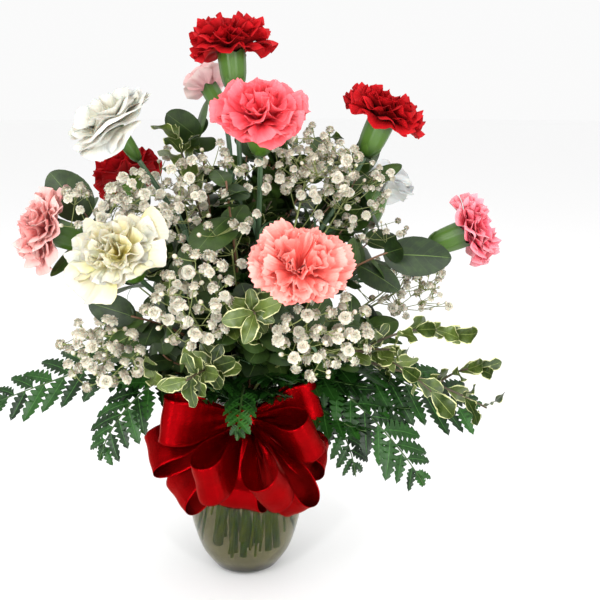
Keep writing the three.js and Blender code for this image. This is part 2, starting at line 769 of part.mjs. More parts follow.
const SPRAY_KIND = { radius: 1.3, tipRadius: 0.8, sides: 3 };
const TWIG_RADIUS = 0.8;
const PUFF_RADIUS = 5.4;
const PUFF_ROOM = 11;
const PUFF_REACH = 18;
const BRANCHES = 3;
const BRANCH_TRIES = 14;
const PUFFS_ROUND = 3;
const PUFF_TRIES = 4;

const SPRAYS = [
  {
    name: "low_left", ring: 3, slot: 13, foot: 26, end: [-78, -62, 206], along: [-0.6, -0.5, 0.5],
    heart: [-104, -92, 218], size: [28, 20, 26], seed: 21,
  },
  {
    name: "front_left", ring: 3, slot: 16, foot: 26, end: [-40, -92, 250], along: [-0.2, -0.5, 0.8],
    heart: [-40, -112, 262], size: [32, 22, 34], seed: 22,
  },
  {
    name: "upper_left", ring: 2, slot: 7, foot: 20, end: [-54, -40, 310], along: [-0.3, -0.2, 0.9],
    heart: [-66, -56, 322], size: [38, 26, 28], seed: 23,
  },
  {
    name: "upper_right", ring: 2, slot: 11, foot: 20, end: [50, -20, 336], along: [0.2, -0.1, 1],
    heart: [56, -34, 352], size: [30, 26, 26], seed: 24,
  },
  {
    name: "front_right", ring: 3, slot: 18, foot: 26, end: [46, -92, 222], along: [0.2, -0.6, 0.6],
    heart: [58, -116, 234], size: [32, 20, 30], seed: 25,
  },
  {
    name: "right", ring: 3, slot: 0, foot: 26, end: [130, -10, 246], along: [0.8, 0, 0.6],
    heart: [144, -18, 258], size: [30, 26, 32], seed: 26,
  },
  {
    name: "back", ring: 3, slot: 6, foot: 26, end: [-16, 84, 270], along: [-0.1, 0.6, 0.8],
    heart: [-18, 98, 282], size: [62, 28, 40], seed: 27,
  },
];

// A twig that ends in a puff, as one solid.
function puffOn(from, to) {
  const along = to.clone().sub(from);
  const length = along.length();
  const profile = [
    [0, 0],
    [TWIG_RADIUS, 0],
    [0.7 * TWIG_RADIUS, length - PUFF_RADIUS],
    [PUFF_RADIUS, length],
    [0, length + PUFF_RADIUS],
  ];
  return solidOf(latheZ(profile, SPRAY_KIND.sides).applyMatrix4(facing(from, along)));
}

// A drawn point in the outer half of an ellipsoid.
function drawnPoint(centre, size, seed, index) {
  const around = 2 * Math.PI * draw(seed, index);
  const height = 2 * draw(seed, index + 1) - 1;
  const share = 0.45 + 0.55 * draw(seed, index + 2);
  const level = Math.sqrt(1 - height * height);
  const offset = vec([level * Math.cos(around), level * Math.sin(around), height]);
  return offset.multiply(size).multiplyScalar(share).add(centre);
}

function buildSpray(spray) {
  const bend = aboveVase(spray);
  const parts = [stemSolid(spray, SPRAY_KIND)];
  const puffs = [];
  const grow = (from, to) => {
    if (puffs.some((puff) => puff.distanceTo(to) < PUFF_ROOM)) return false;
    const made = puffOn(from, to);
    if (!isClear(made)) return false;
    parts.push(made);
    puffs.push(to);
    return true;
  };
  const around = new THREE.Vector3(PUFF_REACH, PUFF_REACH, PUFF_REACH);
  for (let branch = 0; branch < BRANCHES; branch += 1) {
    const from = onStem(bend, 0.72 + (0.27 * branch) / (BRANCHES - 1));
    for (let k = 0; k < BRANCH_TRIES; k += 1) {
      const to = drawnPoint(vec(spray.heart), vec(spray.size), spray.seed, 100 * branch + 5 * k);
      if (!grow(from, to)) continue;
      for (let p = 0; p < PUFFS_ROUND; p += 1) {
        const tries = Array.from({ length: PUFF_TRIES }, (_, t) => 100 * branch + 20 * p + 4 * t);
        tries.some((index) => grow(to, drawnPoint(to, around, spray.seed + 50, index)));
      }
      break;
    }
  }
  return wasm.Manifold.union(parts);
}

// The whole

const GLASS_LOOK = { colour: "#dfe8e4", roughness: 0.05, opacity: 0.35 };
const WATER_LOOK = { colour: "#d5e0d8", roughness: 0.05, opacity: 0.4 };
const SATIN_LOOK = { colour: "#a30d1a", roughness: 0.35 };
const STEM_LOOK = { colour: "#4f8a3c", roughness: 0.6 };
const FERN_LOOK = { colour: "#1d5a2e", roughness: 0.55 };
const EUCALYPTUS_LOOK = { colour: "#4f6350", roughness: 0.7 };
const PITTOSPORUM_LOOK = { colour: "#8fa36a", roughness: 0.55 };
const PUFF_LOOK = { colour: "#f4f2ea", roughness: 0.8 };

addPiece("vase", buildVase(), GLASS_LOOK);
addPiece("neck_tie", buildTie(), SATIN_LOOK);
addPiece("bow", buildBow(), SATIN_LOOK);

CARNATIONS.forEach((carnation, i) => {
  addPiece("stem_" + carnation.name, buildCarnationStem(carnation), STEM_LOOK);
  const look = { colour: carnation.colour, roughness: 0.7 };
  addPiece("bloom_" + carnation.name, buildBloom(carnation, i + 1), look);
});
FERNS.forEach((fern) => addPiece("fern_" + fern.name, buildFern(fern), FERN_LOOK));
EUCALYPTUS.forEach((sprig) => {
  addPiece("eucalyptus_" + sprig.name, buildSprig(sprig, EUCALYPTUS_KIND), EUCALYPTUS_LOOK);
});
PITTOSPORUM.forEach((sprig) => {
  addPiece("pittosporum_" + sprig.name, buildSprig(sprig, PITTOSPORUM_KIND), PITTOSPORUM_LOOK);
});
SPRAYS.forEach((spray) => addPiece("babys_breath_" + spray.name, buildSpray(spray), PUFF_LOOK));

const holes = [
  ...CARNATIONS.map((carnation) => stemHole(carnationStem(carnation), CARNATION_KIND)),
  ...FERNS.map((fern) => stemHole(fern, FERN_KIND)),
  ...EUCALYPTUS.map((sprig) => stemHole(sprig, EUCALYPTUS_KIND)),
  ...PITTOSPORUM.map((sprig) => stemHole(sprig, PITTOSPORUM_KIND)),
  ...SPRAYS.map((spray) => stemHole(spray, SPRAY_KIND)),
];
addPiece("water", buildWater(holes), WATER_LOOK);

export default grouped;
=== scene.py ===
import random
from math import atan2, cos, exp, pi, radians, sin, sqrt

import bpy
from mathutils import Matrix, Quaternion, Vector, kdtree


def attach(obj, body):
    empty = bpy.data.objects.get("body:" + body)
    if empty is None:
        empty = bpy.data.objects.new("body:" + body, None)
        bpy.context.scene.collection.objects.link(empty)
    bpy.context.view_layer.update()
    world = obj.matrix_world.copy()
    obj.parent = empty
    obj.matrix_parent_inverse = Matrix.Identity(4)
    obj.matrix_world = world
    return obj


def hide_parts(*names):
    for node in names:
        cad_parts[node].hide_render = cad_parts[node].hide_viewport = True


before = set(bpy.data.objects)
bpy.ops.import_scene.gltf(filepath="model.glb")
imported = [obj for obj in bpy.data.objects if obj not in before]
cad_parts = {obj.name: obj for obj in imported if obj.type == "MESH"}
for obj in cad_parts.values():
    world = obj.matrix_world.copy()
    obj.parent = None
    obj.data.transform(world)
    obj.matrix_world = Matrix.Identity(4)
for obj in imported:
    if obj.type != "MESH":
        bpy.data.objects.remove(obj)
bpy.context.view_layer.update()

# Carnations in a clear glass vase, filled out with eucalyptus, variegated pittosporum, leatherleaf fern
# and baby's breath, with a satin bow. Lengths below are millimetres; meshes are made in metres.
MM = 0.001
UP = Vector((0, 0, 1))
FULL_TURN = 2 * pi
# The length of a tube that its material is laid on once.
TUBE_PATCH = 20


# A repeatable number from 0 to 1 for each pair of whole numbers, by the rule of the part's source.
def draw(seed, index):
    wave = sin(seed * 127.1 + index * 311.7) * 43758.5453
    return wave - wave // 1


def smooth(low, high, x):
    t = min(1.0, max(0.0, (x - low) / (high - low)))
    return t * t * (3 - 2 * t)


def mix(a, b, share):
    return a + (b - a) * share


# From 0 to 1 in equal steps.
def shares(steps):
    return [k / steps for k in range(steps + 1)]


# The radius at a height, read from (radius, height) pairs in rising order.
def radius_at(profile, z):
    for (r0, z0), (r1, z1) in zip(profile, profile[1:]):
        if z <= z1:
            return mix(r0, r1, max(0.0, (z - z0) / (z1 - z0)))
    return profile[-1][0]


# The level ways out from the Z axis and round it, at a turn.
def way_out(turn):
    return Vector((cos(turn), sin(turn), 0))


def way_round(turn):
    return Vector((-sin(turn), cos(turn), 0))


# Meshes are gathered as points and faces, with a place on the surface (uv) and a tint for each point.
class Piece:
    def __init__(self):
        self.points = []
        self.faces = []
        self.uvs = []
        self.tints = []
        self.slots = []

    def add(self, point, u, v, tint):
        self.points.append(point)
        self.uvs.append((u, v))
        self.tints.append(tint)
        return len(self.points) - 1

    def face(self, corners, slot):
        self.faces.append(corners)
        self.slots.append(slot)

    # A surface through rows of points. Each row is a list of (point, u, v).
    def grid(self, rows, tint=0.5, slot=0, closed=False):
        made = [[self.add(p, u, v, tint) for p, u, v in row] for row in rows]
        for near, far in zip(made, made[1:]):
            count = len(near)
            last = count if closed else count - 1
            for i in range(last):
                j = (i + 1) % count
                self.face((near[i], near[j], far[j], far[i]), slot)
        return made

    # A surface from a rule that gives (point, u, v) for each step along it and across it.
    def surface(self, along, across, rule, tint=0.5, slot=0, closed=False):
        self.grid([[rule(s, v) for v in across] for s in along], tint, slot, closed)

    # A round bar through points, with a radius at each, closed at both ends.
    def tube(self, points, radii, sides, slot):
        rows = []
        across = Vector((1, 0, 0))
        total = 0.0
        for i, point in enumerate(points):
            before = points[max(i - 1, 0)]
            after = points[min(i + 1, len(points) - 1)]
            along = (after - before).normalized()
            if i == 0 and abs(along.x) > 0.8:
                across = Vector((0, 1, 0))
            across = (across - along * across.dot(along)).normalized()
            over = across.cross(along)
            total += (point - before).length
            row = []
            for k in range(sides):
                turn = FULL_TURN * k / sides
                out = across * cos(turn) + over * sin(turn)
                row.append((point + out * radii[i], total / TUBE_PATCH, k / sides))
            rows.append(row)
        made = self.grid(rows, 0.5, slot, closed=True)
        self.face(tuple(reversed(made[0])), slot)
        self.face(tuple(made[-1]), slot)

    # Turned about Z from (radius, height) pairs; pairs on the axis close it.
    def lathe(self, profile, sides=72):
        rows = []
        for i, (r, z) in enumerate(profile):
            row = []
            for k in range(sides):
                turn = FULL_TURN * k / sides
                point = Vector((r * cos(turn), r * sin(turn), z))
                row.append((point, i / len(profile), k / sides))
            rows.append(row)
        self.grid(rows, closed=True)

    def make(self, name, materials):
        mesh = bpy.data.meshes.new(name)
        mesh.from_pydata([p * MM for p in self.points], [], self.faces)
        for material in materials:
            mesh.materials.append(material)
        mesh.polygons.foreach_set("material_index", self.slots)
        mesh.polygons.foreach_set("use_smooth", [True] * len(self.faces))
        layer = mesh.uv_layers.new(name="UVMap")
        corners = [0] * len(mesh.loops)
        mesh.loops.foreach_get("vertex_index", corners)
        flat = []
        for corner in corners:
            flat.extend(self.uvs[corner])
        layer.data.foreach_set("uv", flat)
        tint = mesh.attributes.new("tint", "FLOAT", "POINT")
        tint.data.foreach_set("value", self.tints)
        mesh.update()
        made = bpy.data.objects.new(name, mesh)
        bpy.context.scene.collection.objects.link(made)
        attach(made, "root")
        return made


# Materials


def colour(red, green, blue):
    def linear(c):
        c = c / 255
        return c / 12.92 if c <= 0.04045 else ((c + 0.055) / 1.055) ** 2.4
    return (linear(red), linear(green), linear(blue), 1.0)


# A material and the nodes that paint it. Tones are given as red, green and blue from 0 to 255.
class Paint:
    def __init__(self, name, **settings):
        self.material = bpy.data.materials.new(name)
        self.material.use_nodes = True
        self.nodes = self.material.node_tree.nodes
        self.shader = self.nodes["Principled BSDF"]
        for socket, value in settings.items():
            self.shader.inputs[socket.replace("_", " ")].default_value = value

    def join(self, source, socket):
        if isinstance(source, (int, float, tuple)):
            socket.default_value = source
        else:
            self.material.node_tree.links.new(source, socket)

    def calc(self, operation, *terms):
        made = self.nodes.new("ShaderNodeMath")
        made.operation = operation
        for term, socket in zip(terms, made.inputs):
            self.join(term, socket)
        return made.outputs[0]

    def ramp(self, place, stops):
        made = self.nodes.new("ShaderNodeValToRGB")
        steps = made.color_ramp.elements
        while len(steps) < len(stops):
            steps.new(0.5)
        for step, (at, tone) in zip(steps, stops):
            step.position = at
            step.color = colour(*tone)
        self.join(place, made.inputs[0])
        return made.outputs[0]

    def blend(self, share, a, b):
        made = self.nodes.new("ShaderNodeMix")
        made.data_type = "RGBA"
        for term, index in ((share, 0), (a, 6), (b, 7)):
            self.join(term, made.inputs[index])
        return made.outputs[2]

    def split(self, place):
        made = self.nodes.new("ShaderNodeSeparateXYZ")
        self.join(place, made.inputs[0])
        return made.outputs[0], made.outputs[1], made.outputs[2]

    def object_place(self):
        return self.nodes.new("ShaderNodeTexCoord").outputs["Object"]

    def surface_place(self):
        return self.nodes.new("ShaderNodeUVMap").outputs[0]

    def noise(self, place, scale, detail=2.0):
        made = self.nodes.new("ShaderNodeTexNoise")
        made.inputs["Scale"].default_value = scale
        made.inputs["Detail"].default_value = detail
        self.join(place, made.inputs["Vector"])
        return made.outputs[0]

    # Noise with its own scale along the surface and across it.
    def streaks(self, along, across, detail=3.0):
        place = self.nodes.new("ShaderNodeMapping")
        place.inputs["Scale"].default_value = (along, across, 1)
        self.join(self.surface_place(), place.inputs["Vector"])
        return self.noise(place.outputs[0], 1.0, detail)

    def tint(self):
        made = self.nodes.new("ShaderNodeAttribute")
        made.attribute_name = "tint"
        return made.outputs["Fac"]

    def base(self, source):
        self.join(source, self.shader.inputs["Base Color"])

    def bump(self, height, distance, strength):
        made = self.nodes.new("ShaderNodeBump")
        made.inputs["Distance"].default_value = distance
        made.inputs["Strength"].default_value = strength
        self.join(height, made.inputs["Height"])
        self.join(made.outputs[0], self.shader.inputs["Normal"])


# A petal: deeper at the throat, partly its own tone and partly painted shade deep in the bloom, paler at the
# edge, with fine veins along it.
def petal_material(name, throat, body, edge, glow):
    paint = Paint(
        name, Roughness=0.75, Specular_IOR_Level=0.25, Subsurface_Weight=glow, Subsurface_Scale=0.007,
        Subsurface_Radius=(1.0, 0.75, 0.65),
    )
    along = paint.split(paint.surface_place())[0]
    veins = paint.streaks(2.5, 46.0)
    shifted = paint.calc("MULTIPLY_ADD", veins, 0.2, -0.1)
    tinted = paint.calc("MULTIPLY_ADD", paint.tint(), 0.42, -0.2)
    place = paint.calc("ADD", paint.calc("ADD", along, shifted), tinted)
    paint.base(paint.ramp(place, [(0.3, throat), (0.72, body), (1.0, edge)]))
    paint.bump(veins, 0.0006, 0.7)
    return paint.material


SIDE_VEIN_WIDTH = 0.09
SIDE_VEIN_SHARE = 0.09


# A leaf: a pale rib with faint side veins, mottled between a dark and a light tone, and where a margin is
# given, edged with that tone in an uneven width.
def leaf_material(name, dark, light, rib, roughness, side_veins, rib_width, specular=0.5, margin=None):
    paint = Paint(name, Roughness=roughness, Specular_IOR_Level=specular)
    along, across, _ = paint.split(paint.surface_place())
    mottle = paint.noise(paint.object_place(), 130.0, 4.0)
    share = paint.calc("MULTIPLY_ADD", mottle, 1.1, -0.55)
    share = paint.calc("MULTIPLY_ADD", paint.tint(), 0.75, share)
    off = paint.calc("ABSOLUTE", paint.calc("SUBTRACT", across, 0.5))
    slant = paint.calc("SUBTRACT", along, paint.calc("MULTIPLY", off, 0.55))
    stripe = paint.calc("FRACT", paint.calc("MULTIPLY", slant, side_veins))
    faint = paint.calc("MULTIPLY", paint.calc("LESS_THAN", stripe, SIDE_VEIN_WIDTH), SIDE_VEIN_SHARE)
    veins = paint.calc("MAXIMUM", paint.calc("LESS_THAN", off, rib_width / 2), faint)
    coloured = paint.blend(veins, paint.ramp(share, [(0.0, dark), (1.0, light)]), colour(*rib))
    if margin:
        reach = paint.calc("MULTIPLY_ADD", mottle, 0.22, 0.33)
        coloured = paint.blend(paint.calc("GREATER_THAN", off, reach), coloured, colour(*margin))
    paint.base(coloured)
    paint.bump(paint.calc("MULTIPLY_ADD", mottle, 0.5, veins), 0.0004, 0.6)
    return paint.material


# The square of the radius, in metres, beyond which a stem is outside the vase.
OUTSIDE_VASE = 0.0024


# Streaked along its length, and fresher green in the water, painted brighter as painted light where glass
# and water dim it; this fades out by just above the neck.
def stem_material(name, low, high):
    paint = Paint(name, Roughness=0.5)
    streaks = paint.streaks(0.7, 9.0)
    place = paint.object_place()
    patches = paint.calc("MULTIPLY_ADD", paint.noise(place, 48.0), 1.6, -0.8)
    # The green in the water is partly the stem's own fresh colour and partly painted light.
    fresh_and_lit = paint.ramp(paint.calc("ADD", streaks, patches), [(0.2, (112, 186, 16)), (0.8, (228, 252, 104))])
    x, y, z = paint.split(place)
    above = paint.calc("MULTIPLY_ADD", z, 25.0, -2.6)
    wide = paint.calc("MULTIPLY_ADD", x, x, paint.calc("MULTIPLY", y, y))
    outside = paint.calc("GREATER_THAN", wide, OUTSIDE_VASE)
    dry = paint.ramp(streaks, [(0.3, low), (0.7, high)])
    paint.base(paint.blend(paint.calc("MAXIMUM", above, outside), fresh_and_lit, dry))
    paint.bump(streaks, 0.0003, 0.5)
    return paint.material


# The tone of each kind of petal at its throat, over its body and at its edge, and how much it glows. Where a
# throat is darker than the body, that is partly painted shade.
PETAL_TONES = {
    "red": ((96, 0, 4), (166, 2, 10), (190, 8, 20), 0.1),
    "coral": ((230, 62, 78), (243, 90, 102), (248, 122, 130), 0.2),
    "salmon": ((240, 98, 88), (250, 134, 124), (252, 172, 162), 0.2),
    "cream": ((236, 220, 126), (220, 213, 174), (210, 205, 191), 0.6),
    "white": ((218, 216, 196), (221, 219, 207), (223, 222, 215), 0.7),
    # A cooler white of its own, painted brighter than the other white as painted light for a bloom in shade.
    "lit_cool_white": ((226, 228, 216), (240, 242, 241), (244, 246, 247), 0.35),
    "blush": ((232, 165, 168), (240, 196, 196), (248, 224, 220), 0.2),
    "pale_pink": ((234, 138, 140), (239, 162, 158), (242, 192, 186), 0.3),
    "hot_pink": ((226, 80, 104), (242, 116, 136), (250, 164, 174), 0.2),
}
PETALS = {name: petal_material("petal_" + name, *tones) for name, tones in PETAL_TONES.items()}


# The calyx is painted brighter in its middle as a painted highlight, and darker at its teeth and its foot as
# painted shade, with fine ribs.
def calyx_material():
    paint = Paint("calyx_green", Roughness=0.38)
    along = paint.split(paint.surface_place())[0]
    ribs = paint.streaks(1.5, 30.0)
    place = paint.calc("MULTIPLY_ADD", ribs, 0.16, paint.calc("SUBTRACT", along, 0.08))
    # Painted highlight in the middle, painted shade at the teeth and the foot.
    paint.base(paint.ramp(place, [
        (0.0, (26, 50, 14)), (0.4, (68, 104, 24)), (0.7, (70, 110, 28)), (0.95, (38, 68, 18)),
    ]))
    paint.bump(ribs, 0.0004, 0.5)
    return paint.material


def floret_material():
    paint = Paint("babys_breath_petal", Roughness=0.6, Subsurface_Weight=0.15, Subsurface_Scale=0.002)
    along = paint.split(paint.surface_place())[0]
    paint.base(paint.ramp(along, [(0.0, (154, 150, 110)), (0.55, (193, 186, 165)), (1.0, (212, 206, 189))]))
    return paint.material


# Satin: fine threads across the ribbon, bright where it turns.
def satin_material():
    paint = Paint(
        "ribbon_satin", Roughness=0.26, Metallic=0.84, IOR=1.25, Anisotropic=0.95, Anisotropic_Rotation=0.25,
        Specular_Tint=(1, 0.4, 0.34, 1),
    )
    tangent = paint.nodes.new("ShaderNodeTangent")
    tangent.direction_type = "UV_MAP"
    paint.join(tangent.outputs[0], paint.shader.inputs["Tangent"])
    threads = paint.streaks(6.0, 260.0, 1.0)
    cloth = paint.calc("MULTIPLY", paint.streaks(1.2, 2.5), 0.65)
    woven = paint.calc("MULTIPLY_ADD", threads, 0.35, cloth)
    paint.base(paint.ramp(woven, [(0.3, (124, 0, 4)), (0.75, (156, 2, 8))]))
    folds = paint.streaks(4.2, 0.4, 1.0)
    paint.bump(paint.calc("MULTIPLY_ADD", folds, 4.0, woven), 0.0004, 0.6)
    return paint.material


# Clear, with faint ripples.
def clear_material(name, base, shine, ripple, detail, distance, strength, **settings):
    paint = Paint(name, Transmission_Weight=1.0, Specular_Tint=(shine, shine, shine, 1), **settings)
    paint.base(base)
    paint.bump(paint.noise(paint.object_place(), ripple, detail), distance, strength)
    return paint.material


CALYX_GREEN = calyx_material()
FLORET = floret_material()
SATIN = satin_material()
# The glass's faint yellow-grey tint is partly its own and partly painted shade for the vase's inside.
GLASS = clear_material(
    "vase_glass", (0.9, 0.91, 0.85, 1), 0.35, 26.0, 1.0, 0.001, 0.12,
    Roughness=0.015, IOR=1.47, Specular_IOR_Level=0.25,
)
# The water's dark brownish tint is painted shade for the dim inside of the vase.
WATER = clear_material(
    "water", (0.17, 0.152, 0.08, 1), 0.3, 60.0, 2.0, 0.0006, 0.15,
    Roughness=0.0, IOR=1.33, Specular_IOR_Level=0.2,
)
CARNATION_LEAF = leaf_material(
    "carnation_leaf", (70, 108, 72), (120, 152, 118), (140, 170, 130), 0.6, 0.5, 0.05,
)
EUCALYPTUS_LEAF = leaf_material(
    "eucalyptus_leaf", (20, 40, 8), (66, 94, 32), (86, 110, 50), 0.5, 7.0, 0.022,
)
FERN_LEAF = leaf_material("fern_leaf", (10, 34, 8), (42, 90, 28), (60, 106, 44), 0.38, 6.0, 0.05, 0.3)
PITTOSPORUM_LEAF = leaf_material(
    "pittosporum_leaf", (40, 60, 18), (104, 122, 52), (136, 150, 82), 0.36, 6.0, 0.03,
    margin=(202, 204, 146),
)
CARNATION_GREEN = stem_material("carnation_green", (44, 70, 42), (78, 104, 74))
EUCALYPTUS_STEM = stem_material("eucalyptus_stem", (96, 58, 44), (130, 96, 66))
FERN_STEM = stem_material("fern_stem", (40, 74, 28), (72, 98, 42))
TWIG_STEM = stem_material("pittosporum_stem", (52, 44, 34), (90, 76, 52))
SPRAY_STEM = stem_material("babys_breath_stem", (98, 112, 56), (140, 146, 88))

# The vase and its water

NECK_Z = 136
WATER_Z = 104
WALL_FROM_Z = 16
GLASS_THICK = 2.8
VASE_KNOTS = [
    (27.5, 4.5), (38.2, 20), (45.4, 42), (47.2, 58), (43.8, 80), (34.8, 110), (30.5, 136), (38.5, 160),
]


# The smooth outline through the knots, as (radius, height) pairs.
def vase_outline(steps=8):
    knots = [Vector(knot) for knot in VASE_KNOTS]
    line = []
    for i in range(len(knots) - 1):
        before = knots[max(i - 1, 0)]
        start = knots[i]
        end = knots[i + 1]
        after = knots[min(i + 2, len(knots) - 1)]
        into = (end - before) * 0.5
        out = (after - start) * 0.5
        for k in range(steps):
            t = k / steps
            a = start * (2 * t**3 - 3 * t**2 + 1) + into * (t**3 - 2 * t**2 + t)
            b = end * (-2 * t**3 + 3 * t**2) + out * (t**3 - t**2)
            line.append(a + b)
    line.append(knots[-1])
    return [(p.x, p.y) for p in line]


OUTLINE = vase_outline()


def vase_radius(z):
    return radius_at(OUTLINE, z)


def build_vase():
    piece = Piece()
    foot = [(0, 0.6), (14, 0.5), (17, 0), (19.5, 0), (22.5, 1.0), (25, 3.2)]
    lip = [(38.6, 160.9), (37.4, 161.5), (36.2, 161.0)]
    inside = [(r - GLASS_THICK, z) for r, z in OUTLINE if z > WALL_FROM_Z]
    corner = [(27.9, 11.6), (24.2, 8.2), (19.5, 6.4), (12, 5.6), (0, 5.5)]
    piece.lathe(foot + OUTLINE + lip + list(reversed(inside)) + corner)
    vase = piece.make("vase_clear", [GLASS])
    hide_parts("vase")


# The water reaches a little into the glass, so that no air shows between them.
def build_water():
    piece = Piece()
    into = GLASS_THICK - 0.25
    wall = [(r - into, z) for r, z in OUTLINE if WALL_FROM_Z < z < WATER_Z - 1]
    floor = [(0, 5.3), (12, 5.4), (19.5, 6.2), (24.3, 8.0), (28.1, 11.4)]
    edge = vase_radius(WATER_Z) - into
    top = [(edge, WATER_Z + 1.4), (edge - 1.0, WATER_Z + 0.5), (edge - 2.6, WATER_Z), (0, WATER_Z)]
    piece.lathe(floor + wall + top)
    water = piece.make("water_clear", [WATER])
    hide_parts("water")


build_vase()
build_water()

# Stems

# Each ring of stems in the neck: its radius, and how many slots it has.
RINGS = [(0, 1), (7, 6), (15, 12), (23, 24)]
LEAN = 0.0078
EXIT_Z = 144
BEND_STEPS = 6
STEM_STEPS = 22


class Bend:
    def __init__(self, a, b, c, d):
        self.knots = (a, b, c, d)

    def point(self, t):
        a, b, c, d = self.knots
        s = 1 - t
        return a * s**3 + b * (3 * s * s * t) + c * (3 * s * t * t) + d * t**3

    def tangent(self, t):
        a, b, c, d = self.knots
        s = 1 - t
        return ((b - a) * (3 * s * s) + (c - b) * (6 * s * t) + (d - c) * (3 * t * t)).normalized()

    # A point on the straight runs between the bend's steps.
    def on_runs(self, u):
        run = min(int(u * BEND_STEPS), BEND_STEPS - 1)
        start = self.point(run / BEND_STEPS)
        return start.lerp(self.point((run + 1) / BEND_STEPS), u * BEND_STEPS - run)


# The line of a stem through the neck: where it is at each height.
def place_in_neck(radius, turn):
    place = Vector((radius * cos(turn), radius * sin(turn), NECK_Z))
    lean = Vector((-LEAN * radius * sin(turn), LEAN * radius * cos(turn), 1))
    return lambda z: place + lean * (z - NECK_Z)


# A stem: its ring and slot in the neck, the height of its foot, its tip and the way that it runs there.
def stem_of(name, ring, slot, foot, end, along, **more):
    return dict(more, name=name, ring=ring, slot=slot, foot=foot, end=end, along=along)


def in_vase(stem):
    radius, slots = RINGS[stem["ring"]]
    return place_in_neck(radius, FULL_TURN * stem["slot"] / slots)


def above_vase(stem, line):
    leave = line(EXIT_Z)
    end = Vector(stem["end"])
    span = (end - leave).length
    rising = (line(EXIT_Z + 1) - leave).normalized()
    arriving = Vector(stem["along"]).normalized()
    first = leave + rising * (span * stem.get("rise", 0.4))
    last = end - arriving * (span * stem.get("reach", 0.35))
    return Bend(leave, first, last, end)


# Thick stems are cut nearly alike at the foot. Thin ones are cut at more varied heights, and are thinner
# in the vase than above it.
def add_stem(piece, stem, radius, tip_radius, sides, slot=1, upto=1.0, line=None, knobs=()):
    line = line or in_vase(stem)
    bend = above_vase(stem, line)
    thick = radius > 2
    foot = stem["foot"] + (14 if thick else 40) * draw(stem["end"][0], 1) ** 2
    points = [line(foot + (EXIT_Z - foot) * k / 6) for k in range(6)]
    radii = [radius * (1 if thick else 0.7)] * 6
    for k in range(STEM_STEPS + 1):
        u = upto * k / STEM_STEPS
        swell = sum(0.3 * exp(-((u - at) / 0.012) ** 2) for at in knobs)
        points.append(bend.point(u))
        radii.append(mix(radius, tip_radius, u) * (1 + swell))
    piece.tube(points, radii, sides, slot)
    return bend


# Carnations


# A carnation: its look and colour, its width, the ring and slot of its stem, where the middle of the bloom
# is and the way that it faces.
def carnation_of(name, look, tone, across, ring, slot, at, faces, **more):
    return dict(
        more, name=name, look=look, tone=tone, across=across, ring=ring, slot=slot, at=at, faces=faces,
    )


# Some have terms of their own: low shortens the petals that point up or down, inner all those of the
# whorls, cleft parts a bloom into two humps, and slim narrows the calyx. A hanging petal, outside the
# whorls, has the way that it points, its tilt and its length.
CARNATIONS = [
    carnation_of(
        "red_top", "open", "red", 66, 0, 0, (-8, 20, 444), (-0.08, 0.1, 1), cleft=0.2,
        hanging=[((-1, -0.3, 0), 116, 1), ((1, -0.2, 0), 114, 0.98), ((-0.2, 1, 0), 112, 0.95)],
    ),
    carnation_of(
        "pink_bud", "bud", "blush", 46, 1, 2, (-28, 70, 409), (-0.4, 0.6, 0.7), slim=0.7, reach=0.12,
    ),
    carnation_of("coral", "full", "coral", 72, 1, 5, (14, -85, 394), (0, -0.56, 0.83), low=0.16),
    carnation_of(
        "white_left", "broad", "white", 70, 1, 3, (-101, -30, 386), (-0.5, -0.2, 0.8), slim=0.55,
        hanging=[((-0.2, -0.9, -0.4), 122, 1), ((-0.75, -0.65, -0.1), 128, 1.0)],
    ),
    carnation_of("red_left", "open", "red", 60, 2, 5, (-100, 70, 334), (-0.4, 0.5, 0.75)),
    carnation_of("pale_pink", "open", "pale_pink", 66, 2, 6, (-157, -20, 300), (-0.85, -0.25, 0.35)),
    carnation_of(
        "cream", "ruffled", "cream", 76, 2, 8, (-90, -115, 298), (-0.31, -0.71, 0.63), low=0.3, inner=0.86,
        hanging=[((1, -0.2, 0.1), 84, 1.1), ((-0.8, -0.3, -0.7), 92, 1.08), ((-1, 0, 0.1), 88, 1)],
    ),
    carnation_of("salmon", "frilled", "salmon", 73, 2, 10, (40, -135, 291), (0.12, -0.69, 0.71), low=0.2),
    carnation_of("red_right", "lobed", "red", 68, 1, 0, (116, 0, 389), (0.4, -0.1, 0.9)),
    # Its petals are painted brighter than the other white bloom's, as painted light, since it stands in
    # shade.
    carnation_of(
        "white_right", "broad", "white", 66, 2, 1, (121, 80, 323), (0.25, 0.35, 0.9), petals="lit_cool_white",
    ),
    carnation_of("hot_pink", "lobed", "hot_pink", 63, 2, 0, (188, -10, 294), (0.85, -0.15, 0.35)),
]
USUAL_ACROSS = 72
THROAT_DEPTH = 12
CALYX_LENGTH = 28
IN_CALYX = 6

